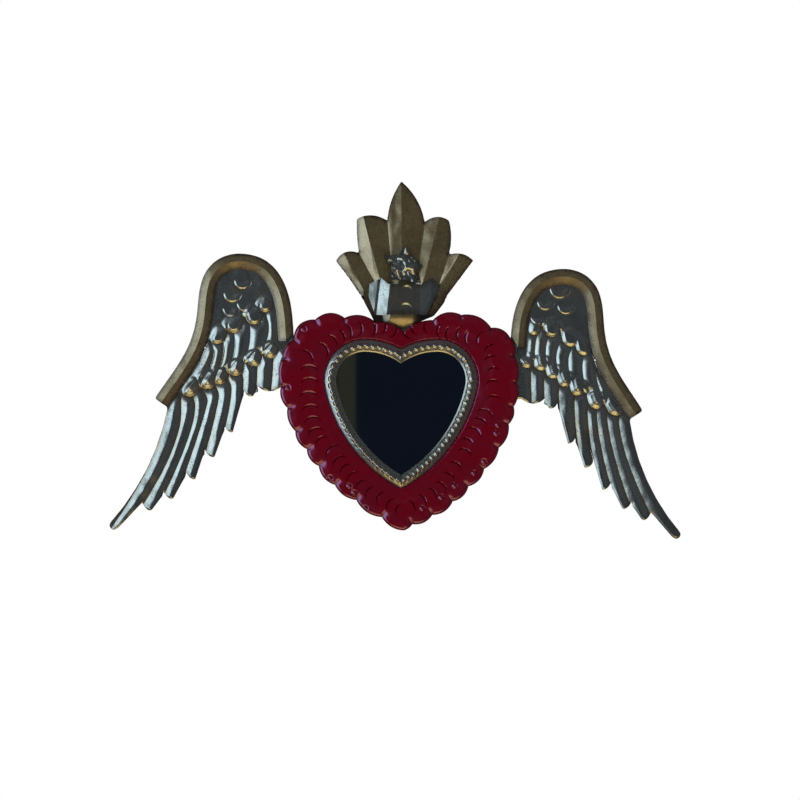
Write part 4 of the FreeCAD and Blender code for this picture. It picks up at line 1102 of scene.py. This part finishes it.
class MIRROR_OT_wings(Operator):
    """Two tin wings embossed with scales, ribs and long feathers"""
    bl_idname = "mirror.wings"
    bl_label = "Wings"

    # Half the width of the step at a tier's lip, and how far behind the lip the sheet still rises
    STEP = 0.35
    LIP_RUN = 2.6
    # How much a long feather's flank flattens with each millimetre from its foot
    FLATTENING = 0.045
    # Distance of a groove from the lip over it, and the groove's half width
    GROOVE_PLACE = 0.5
    GROOVE_WIDTH = 0.8
    OUTLINE_SOFTNESS = 1.5
    # Height of the heart's middle, and the radii between which the wing comes out from under the heart
    HEART_MIDDLE = 5.0
    HEART_RADII = (82.0, 92.0)

    def execute(self, context):
        self.wing(context, "left_wing", LEFT_WING)
        self.wing(context, "right_wing", RIGHT_WING)
        return {"FINISHED"}

    def wing(self, context, name, plan):
        sizes = context.scene.mirror_wing
        tin = context.scene.mirror_tin
        ribs = [(curved(spots(run)), radius * MM_PER_PIXEL) for run, radius in plan["ribs"]]
        quills = [curved(spots(run)) for run in plan["quills"]]
        outline = rounded(FrontSkin(name).outline, self.OUTLINE_SOFTNESS)
        sheet = Relief(name, tin.wing_spacing / MM, outline, (), 0.0)
        x, z = sheet.x, sheet.z
        upper = above_line(x, z, spots(plan["upper_line"]))
        above_ends = upper
        for start, end, radius in plan["upper_ends"]:
            upper = np.maximum(upper, radius * MM_PER_PIXEL - distance_to_run(x, z, spots([start, end])))
        lower = above_line(x, z, spots(plan["lower_line"]))
        above_ribs = lower
        for run, radius in ribs:
            lower = np.maximum(lower, radius - distance_to_run(x, z, run))
        quill_roof = even_roofs(x, z, quills)
        rib_roof = rounded_roofs(x, z, [run for run, _ in ribs])
        lower_ends = self.beside_ends(x, z, [(run[-1], radius) for run, radius in ribs])
        upper_ends = [(spot(*end), radius * MM_PER_PIXEL) for _, end, radius in plan["upper_ends"]]
        upper_ends = self.beside_ends(x, z, upper_ends)
        long_tier = sizes.quill_slope * quill_roof * (1.0 - self.FLATTENING * quill_roof)
        long_tier = np.minimum(long_tier, sizes.quill_height / MM)
        long_tier *= 0.25 + 0.75 * ease(-lower, 0.0, 6.0)
        middle_tier = self.lip(lower, sizes) * lower_ends
        middle_tier = middle_tier * (1.0 - 0.8 * ease(above_ribs, -2.0, 14.0))
        middle_tier += rib_roof * sizes.rib_height / MM * ease(lower, 1.5, 8.0)
        top_tier = self.lip(upper, sizes) * upper_ends
        top_tier *= 1.0 - 0.95 * ease(above_ends, -2.0, 10.0)
        height = np.where(lower > -self.STEP, middle_tier, long_tier)
        height *= 0.2 + 0.8 * ease(-upper, 0.0, 6.0)
        height = np.where(upper > -self.STEP, top_tier, height) * plan["relief"]
        fade = 0.35 + 0.65 * ease(sheet.edge_distance, 0.0, 1.6)
        under_rim = ease(self.rim_distance(sheet, name), 0.0, 6.0)
        under_heart = ease(np.hypot(x, z - self.HEART_MIDDLE), *self.HEART_RADII)
        sheet.rise = WING_FRONT + height * fade * under_rim * under_heart
        # Grooves under the lips and valleys between the long feathers take amber lacquer, also a painted
        # golden reflection and painted shade
        groove = self.groove(lower) * lower_ends + self.groove(upper) * upper_ends
        valley = np.clip(1.0 - 2.2 * roofs(x, z, quills), 0.0, 1.0) * (lower < 0.0)
        sheet.hollow = np.clip(groove + valley * 0.7, 0.0, 1.0)
        for across, down, radius, strength in plan["scales"]:
            self.scale(sheet, *spot(across, down), radius * MM_PER_PIXEL, strength * sizes.scale_rise / MM)
        sheet.unevenness(0.35, 9.0, plan["seed"])
        sheet.unevenness(0.04, 3.0, plan["seed"] + 3.0)
        sheet.piece(name + "_embossed", "aged_tin", tin.thickness)

    def lip(self, above, sizes):
        """Height of a tier over the next one, by the distance above its lip."""
        step = sizes.tier_lift / MM * ease(above, -self.STEP, self.STEP)
        return step + sizes.lip_rise / MM * ease(above, 0.0, self.LIP_RUN)

    def groove(self, above):
        """1 in the groove under a lip, 0 away from it."""
        return np.exp(-((above + self.GROOVE_PLACE) / self.GROOVE_WIDTH) ** 2)

    def beside_ends(self, x, z, ends):
        """1 beside the round ends, 0 away from them."""
        near = [1.0 - ease(np.hypot(x - px, z - pz) / radius, 1.05, 1.6) for (px, pz), radius in ends]
        return np.max(np.array(near), axis=0)

    def rim_distance(self, sheet, name):
        """Distance inwards from the strip that lies on the wing."""
        outline = FrontSkin(name + "_rim").outline
        return np.where(inside(sheet.x, sheet.z, outline), 0.0, sheet.distance(outline))

    def scale(self, sheet, x, z, radius, rise):
        """Small scale, struck with a tool shaped like a U."""
        inner = radius - np.hypot(sheet.x - x, sheet.z - z)
        down = np.clip((z - sheet.z) / radius, -1.0, 1.0)
        lower_half = ease(down, -0.25, 0.45)
        sheet.rise += 0.8 * rise * ease(inner, -0.2, 0.9) * lower_half * (1.0 - ease(inner, 1.0, radius))
        cut = np.exp(-((inner + 0.45) / 0.45) ** 2) * lower_half
        sheet.rise -= 0.5 * rise * cut
        # The scale's cut takes amber lacquer, also a painted golden reflection
        sheet.hollow = np.maximum(sheet.hollow, cut * 0.8)


class MIRROR_OT_wing_rims(Operator):
    """Bronzed strips with a crease along the middle, laid on the wings"""
    bl_idname = "mirror.wing_rims"
    bl_label = "Wing rims"

    HALF_WIDTH = 6.3
    RISE = 2.2
    HEART_GAP = 2.6
    DENTS = 0.22
    STEPS = 6
    HEART_STEPS = 90

    def execute(self, context):
        tin = context.scene.mirror_tin
        heart = OUTER_HEART.outward(self.HEART_GAP)
        steps = range(self.HEART_STEPS + 1)
        heart = segments_of(both_halves([heart.place(step / self.HEART_STEPS)[:2] for step in steps]))
        for name, seed in (("left_wing_rim", 3.0), ("right_wing_rim", 11.0)):
            middle = self.smooth(self.crease(name))
            outline = segments_of(self.beside(middle, 1.0) + self.beside(middle, -1.0)[::-1])
            outline.append((outline[-1][1], outline[0][0]))
            outline = rounded(outline, 1.5)
            foot = -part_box(name)[1][1] / MM + tin.thickness / MM
            sheet = Relief(name, tin.trim_spacing / MM, outline, segments_of(middle), foot, heart)
            beside = np.clip(distance_to_run(sheet.x, sheet.z, middle) / self.HALF_WIDTH, 0.0, 1.0)
            sheet.rise += self.RISE * (1.0 - beside)
            sheet.unevenness(self.DENTS, 9.0, seed)
            sheet.piece(name + "_bronzed", "bronzed_tin", tin.thickness, 30.0)
        return {"FINISHED"}

    def crease(self, name):
        """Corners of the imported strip's crease, from one end to the other."""
        skin = FrontSkin(name).mesh
        top = min(vert.co.y for vert in skin.verts)
        ridge = [edge for edge in skin.edges if max(vert.co.y for vert in edge.verts) < top + 0.3 * MM]
        places = {(vert.co.x / MM, vert.co.z / MM) for edge in ridge for vert in edge.verts}
        run = [max(places, key=lambda place: abs(place[0]))]
        places.discard(run[0])
        while places:
            run.append(min(places, key=lambda place: math.dist(place, run[-1])))
            places.discard(run[-1])
        return run

    def smooth(self, run):
        """Smooth curve through the corners."""
        ends = [np.array(run[0]) * 2 - run[1], *map(np.array, run), np.array(run[-1]) * 2 - run[-2]]
        places = []
        for a, b, c, d in zip(ends, ends[1:], ends[2:], ends[3:]):
            for step in range(self.STEPS):
                t = step / self.STEPS
                bend = (2 * a - 5 * b + 4 * c - d) * t ** 2 + (3 * b - a - 3 * c + d) * t ** 3
                places.append(tuple((2 * b + (c - a) * t + bend) / 2))
        return places + [run[-1]]

    def beside(self, run, side):
        """The run moved sideways by half the strip's width."""
        places = []
        for index, (x, z) in enumerate(run):
            (x0, z0), (x1, z1) = run[max(index - 1, 0)], run[min(index + 1, len(run) - 1)]
            span = math.dist((x0, z0), (x1, z1)) / self.HALF_WIDTH * side
            places.append((x - (z1 - z0) / span, z + (x1 - x0) / span))
        return places


# Crown

class MIRROR_OT_crown_flames(Operator):
    """Bronzed sheet creased into five flames"""
    bl_idname = "mirror.crown_flames"
    bl_label = "Crown flames"

    # Heights, in millimetres, between which the folds grow, where the foot bulges, and where the painted
    # shade beside the band begins
    ABOVE_BAND = (104.0, 116.0)
    FOOT_TOP = 77.5
    SHADED_BELOW = 106.0

    def execute(self, context):
        tin = context.scene.mirror_tin
        skin = FrontSkin("crown_flames")
        sheet = Relief("crown_flames", tin.trim_spacing / MM, rounded(skin.outline, 1.0), skin.folds)
        sizes = context.scene.mirror_crown
        folded = sheet.depth - np.min(sheet.depth)
        steeper = ease(-sheet.x, 4.0, 16.0) * ease(sheet.z, *self.ABOVE_BAND)
        flatter = ease(sheet.x, -16.0, -4.0) * ease(sheet.z, *self.ABOVE_BAND)
        sheet.rise += folded * sizes.left_folds * steeper
        sheet.rise -= folded * sizes.right_folds * flatter
        foot = self.FOOT_TOP - sheet.z
        middle = 1.0 - ease(np.abs(sheet.x - 0.5), 8.0, 16.0)
        sheet.rise += sizes.foot_bulge / MM * ease(foot, -7.0, -1.0) * (1.0 - ease(foot, -0.5, 11.0)) * middle
        # Painted shade on the flames beside the band and at the foot's sides, next to the heart
        painted_shade = ease(self.SHADED_BELOW - sheet.z, 0.0, 14.0) * ease(np.abs(sheet.x - 0.5), 9.0, 14.0)
        sheet.hollow = 0.4 * painted_shade
        sheet.hollow += 0.6 * ease(foot, -2.0, 1.0) * (1.0 - middle)
        sheet.unevenness(sizes.hammering / MM, 8.0, 5.0)
        sheet.piece("crown_flames_bronzed", "bronzed_tin", tin.thickness, 30.0)
        return {"FINISHED"}


class MIRROR_OT_crown_band(Operator):
    """Folded tin band with two small dents"""
    bl_idname = "mirror.crown_band"
    bl_label = "Crown band"

    # Where the flat front begins and ends at half height
    FRONT_PIXELS = (388.5, 420.0)
    # Place and width of each dent
    DENT_PIXELS = [(406.7, 289.5, 9.5), (405.6, 307.6, 11.0)]
    DENT_DEPTH = 1.2
    DENT_SAGS = (0.46, 0.22, 0.12)

    def execute(self, context):
        tin = context.scene.mirror_tin
        sheet = Relief("crown_band", 0.5)
        sheet.depth[:] = np.max(sheet.depth)
        left, right = (spot(pixel, 0.0)[0] for pixel in self.FRONT_PIXELS)
        aside = np.maximum(left - sheet.x, sheet.x - right)
        leaning = aside + np.where(sheet.x < 0.0, (sheet.z - 90.0) * 0.12, 0.0)
        left_step = np.interp(leaning, (0.0, 8.6, 10.0, 17.0), (0.0, 1.0, 0.85, 1.45))
        right_step = np.interp(aside, (0.0, 9.0, 14.0), (0.0, 1.0, 1.15))
        step = np.where(sheet.x < 0.0, left_step, right_step)
        sheet.rise -= context.scene.mirror_crown.band_step / MM * step
        sheet.unevenness(0.3, 7.0, 2.0)
        for across, down, width in self.DENT_PIXELS:
            chord = width * MM_PER_PIXEL
            Stamp(spot(across, down), math.pi / 2, chord, self.DENT_DEPTH, self.DENT_SAGS).press(sheet)
        sheet.hollow = 0.45 * (aside <= 0.0) * (1.0 - np.minimum(1.0, sheet.hollow * 3.0))
        sheet.piece("crown_band_folded", "aged_tin", tin.thickness, 30.0)
        return {"FINISHED"}


class MIRROR_OT_crown_star(Operator):
    """Crumpled five-pointed star"""
    bl_idname = "mirror.crown_star"
    bl_label = "Crown star"

    # Least and greatest depth in front of the wall, and the width of a crumple
    DEPTHS = (8.7, 12.1)
    GRAIN = 7.0
    CORNERS = [
        (405.0, 246.5), (409.8, 256.0), (421.0, 265.5), (415.5, 272.5), (418.5, 283.0), (404.5, 280.0),
        (390.0, 279.5), (393.0, 268.5), (384.0, 256.0), (398.0, 255.0),
    ]

    def execute(self, context):
        tin = context.scene.mirror_tin
        run = spots(self.CORNERS)
        sheet = Relief("crown_star", 0.45, segments_of(run + run[:1]))
        depth = context.scene.mirror_crown.crumple / MM
        places = [Vector((x / self.GRAIN, 4.0, z / self.GRAIN)) for x, z in zip(sheet.x, sheet.z)]
        folds = np.array([abs(noise.noise(place)) for place in places])
        sheet.rise += depth * (folds * 4.0 - 1.2) * ease(sheet.edge_distance, -2.0, 1.0)
        sheet.unevenness(0.3, 3.2, 9.0)
        sheet.rise = np.clip(sheet.depth + sheet.rise, *self.DEPTHS) - sheet.depth
        sheet.piece("crown_star_crumpled", "aged_tin", tin.thickness, 20.0)
        return {"FINISHED"}


class MIRROR_OT_back(Operator):
    """Glass, card, pan, strut, hanger and solder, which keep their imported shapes"""
    bl_idname = "mirror.back"
    bl_label = "Glass and back"

    def execute(self, context):
        for entry in frame["record"]["subparts"]:
            if entry["node"] in KEPT_NODES:
                keep_node(entry["node"], entry["material_slot"])
        return {"FINISHED"}


KEPT_NODES = [
    "mirror_glass", "backing_card", "back_pan", "crown_strut", "hanger_strap", "hanger_ring",
    "pan_solder", "left_wing_solder", "right_wing_solder", "crown_solder", "hanger_solder",
]


# Studio

def emitting(name, colour, strength, rim=None):
    """A glow that may fade to another colour away from its middle."""
    finish = Finish(name, Roughness=1.0, Specular_IOR_Level=0.0, Emission_Strength=strength)
    finish.shader.inputs["Base Color"].default_value = (0.0, 0.0, 0.0, 1.0)
    finish.shader.inputs["Emission Color"].default_value = (*colour, 1.0)
    if rim:
        out = finish.node("ShaderNodeVectorMath", {"operation": "LENGTH"}, [finish.place], output="Value")
        finish.feed(Emission_Color=finish.mixed(out.between(0.20, 0.50), colour, rim))
    return finish.material


def only_mirrored(made, name, *glow):
    """A thing of the stage that only reflections see."""
    made.name = name
    made.data.materials.append(emitting(name, *glow))
    for ray in ("camera", "diffuse", "shadow", "transmission", "volume_scatter"):
        setattr(made, "visible_" + ray, False)


class MIRROR_OT_stage(Operator):
    """Pale floor, white surroundings, lamps, the dark room that the metal mirrors, and the camera"""
    bl_idname = "mirror.stage"
    bl_label = "Stage"

    SENSOR = 36.0
    # Depth in front of the wall at which the picture has the photograph's scale, in millimetres
    SCALE_DEPTH = 7.0
    ROOM_COLOUR = (0.050, 0.056, 0.060)
    # Cards: degrees to the left, degrees up, width and height in metres, colour, strength, edge's colour
    CARDS = {
        "window": (62.0, -1.0, 4.2, 5.4, (0.80, 0.95, 1.0), 2.7, (0.030, 0.036, 0.040)),
        "warm_table": (6.0, -64.0, 4.6, 3.6, (1.0, 0.74, 0.28), 2.5, (0.10, 0.045, 0.012)),
        "right_wall": (-72.0, 0.0, 2.2, 2.4, (1.0, 0.86, 0.66), 0.07, (0.8, 0.8, 0.8)),
        "ceiling": (0.0, 62.0, 3.0, 1.8, (0.8, 0.9, 1.0), 0.13, (0.4, 0.4, 0.4)),
        "behind_camera": (0.0, 0.0, 2.4, 2.4, (0.35, 0.55, 1.0), 0.012),
    }
    # The olive stripe in the glass, which stands a little nearer than the card behind the camera
    DOOR_FRAME = (1.8, 0.0, 0.032, 1.5, (1.0, 1.0, 0.7), 0.024)
    NEARER = 0.98

    def execute(self, context):
        sizes = context.scene.mirror_studio
        self.world(context)
        self.floor(sizes)
        bpy.ops.mesh.primitive_uv_sphere_add(segments=48, ring_count=24, radius=sizes.room)
        only_mirrored(bpy.context.active_object, "room", self.ROOM_COLOUR, 1.0)
        for name, placed in self.CARDS.items():
            self.card(name, sizes.card_distance, *placed)
        self.card("door_frame", sizes.card_distance * self.NEARER, *self.DOOR_FRAME)
        self.lamp("window_lamp", (-1.9, -2.1, 0.7), 1.0, 1.7, sizes.window_power, (0.86, 0.95, 1.0))
        self.lamp("warm_lamp", (0.3, -1.2, -1.4), 0.9, 0.5, sizes.warm_power, (1.0, 0.78, 0.50))
        self.camera(context, sizes)
        return {"FINISHED"}

    def card(self, name, distance, left, up, width, height, *glow):
        left, up = math.radians(left), math.radians(up)
        away = Vector((-math.sin(left) * math.cos(up), -math.cos(left) * math.cos(up), math.sin(up)))
        turn = (-away).to_track_quat("Z", "Y").to_euler()
        bpy.ops.mesh.primitive_plane_add(size=1.0, location=away * distance, rotation=turn)
        made = bpy.context.active_object
        made.scale = (width, height, 1.0)
        only_mirrored(made, name, *glow)

    def world(self, context):
        world = bpy.data.worlds.new("surroundings")
        world.use_nodes = True
        tree = world.node_tree
        rays = tree.nodes.new("ShaderNodeLightPath")
        seen = rays.outputs["Is Camera Ray"]
        for other in ("Is Glossy Ray", "Is Transmission Ray"):
            add = tree.nodes.new("ShaderNodeMath")
            add.operation = "MAXIMUM"
            tree.links.new(seen, add.inputs[0])
            tree.links.new(rays.outputs[other], add.inputs[1])
            seen = add.outputs[0]
        strength = tree.nodes.new("ShaderNodeMapRange")
        strength.inputs["To Min"].default_value = 0.75
        strength.inputs["To Max"].default_value = 1.0
        tree.links.new(seen, strength.inputs["Value"])
        sky = tree.nodes["Background"]
        sky.inputs["Color"].default_value = (1.0, 1.0, 1.0, 1.0)
        tree.links.new(strength.outputs[0], sky.inputs["Strength"])
        context.scene.world = world

    def floor(self, sizes):
        drop = CAD_BOX[0][2] - sizes.floor_drop
        bpy.ops.object.select_all(action="DESELECT")
        bpy.ops.mesh.primitive_circle_add(
            vertices=96, radius=sizes.floor_radius, fill_type="NGON", location=(0.0, 0.0, drop),
        )
        floor = bpy.context.active_object
        floor.name = "floor"
        finish = Finish("floor_paint", Roughness=0.9)
        finish.shader.inputs["Base Color"].default_value = (0.86, 0.86, 0.85, 1.0)
        floor.data.materials.append(finish.material)
        floor.visible_glossy = False

    def lamp(self, name, place, width, height, power, tone):
        data = bpy.data.lights.new(name, "AREA")
        data.shape = "RECTANGLE"
        data.size = width
        data.size_y = height
        data.energy = power
        data.color = tone
        made = bpy.data.objects.new(name, data)
        made.location = place
        made.rotation_euler = (-Vector(place)).to_track_quat("-Z", "Y").to_euler()
        made.visible_glossy = False
        bpy.context.scene.collection.objects.link(made)

    def camera(self, context, sizes):
        data = bpy.data.cameras.new("camera")
        data.sensor_fit = "HORIZONTAL"
        data.sensor_width = self.SENSOR
        width = PHOTO_SIDE * MM_PER_PIXEL * MM
        data.lens = self.SENSOR * (sizes.distance - self.SCALE_DEPTH * MM) / width
        made = bpy.data.objects.new("camera", data)
        x, z = spot(PHOTO_SIDE / 2, PHOTO_SIDE / 2)
        made.location = (x * MM, -sizes.distance, z * MM)
        made.rotation_euler = (math.pi / 2, 0.0, 0.0)
        context.scene.collection.objects.link(made)
        context.scene.camera = made
        context.scene.view_settings.view_transform = "Standard"


# Panel and registration

OPERATORS = [
    MIRROR_OT_heart_frame, MIRROR_OT_bezels, MIRROR_OT_wings, MIRROR_OT_wing_rims, MIRROR_OT_crown_flames,
    MIRROR_OT_crown_band, MIRROR_OT_crown_star, MIRROR_OT_back, MIRROR_OT_stage,
]
GROUPS = {
    "mirror_tin": TinSizes, "mirror_heart": HeartSizes, "mirror_bezel": BezelSizes, "mirror_wing": WingSizes,
    "mirror_crown": CrownSizes, "mirror_finishes": Finishes, "mirror_studio": StudioSizes,
}


class MIRROR_PT_panel(Panel):
    """The mirror's pieces and their sizes"""
    bl_idname = "MIRROR_PT_panel"
    bl_label = "Winged heart mirror"
    bl_space_type = "VIEW_3D"
    bl_region_type = "UI"
    bl_category = "Mirror"

    def draw(self, context):
        for operator in OPERATORS:
            self.layout.operator(operator.bl_idname)
        for name, group in GROUPS.items():
            box = self.layout.box()
            for field in group.__annotations__:
                box.prop(getattr(context.scene, name), field)


def register():
    for made in [*GROUPS.values(), *OPERATORS, MIRROR_PT_panel]:
        bpy.utils.register_class(made)
    for name, group in GROUPS.items():
        setattr(bpy.types.Scene, name, PointerProperty(type=group))


def unregister():
    for name in GROUPS:
        delattr(bpy.types.Scene, name)
    for made in reversed([*GROUPS.values(), *OPERATORS, MIRROR_PT_panel]):
        bpy.utils.unregister_class(made)


def main():
    register()
    bpy.ops.mirror.heart_frame()
    bpy.ops.mirror.bezels()
    bpy.ops.mirror.wings()
    bpy.ops.mirror.wing_rims()
    bpy.ops.mirror.crown_flames()
    bpy.ops.mirror.crown_band()
    bpy.ops.mirror.crown_star()
    bpy.ops.mirror.back()
    bpy.ops.mirror.stage()


if __name__ == "__main__":
    main()
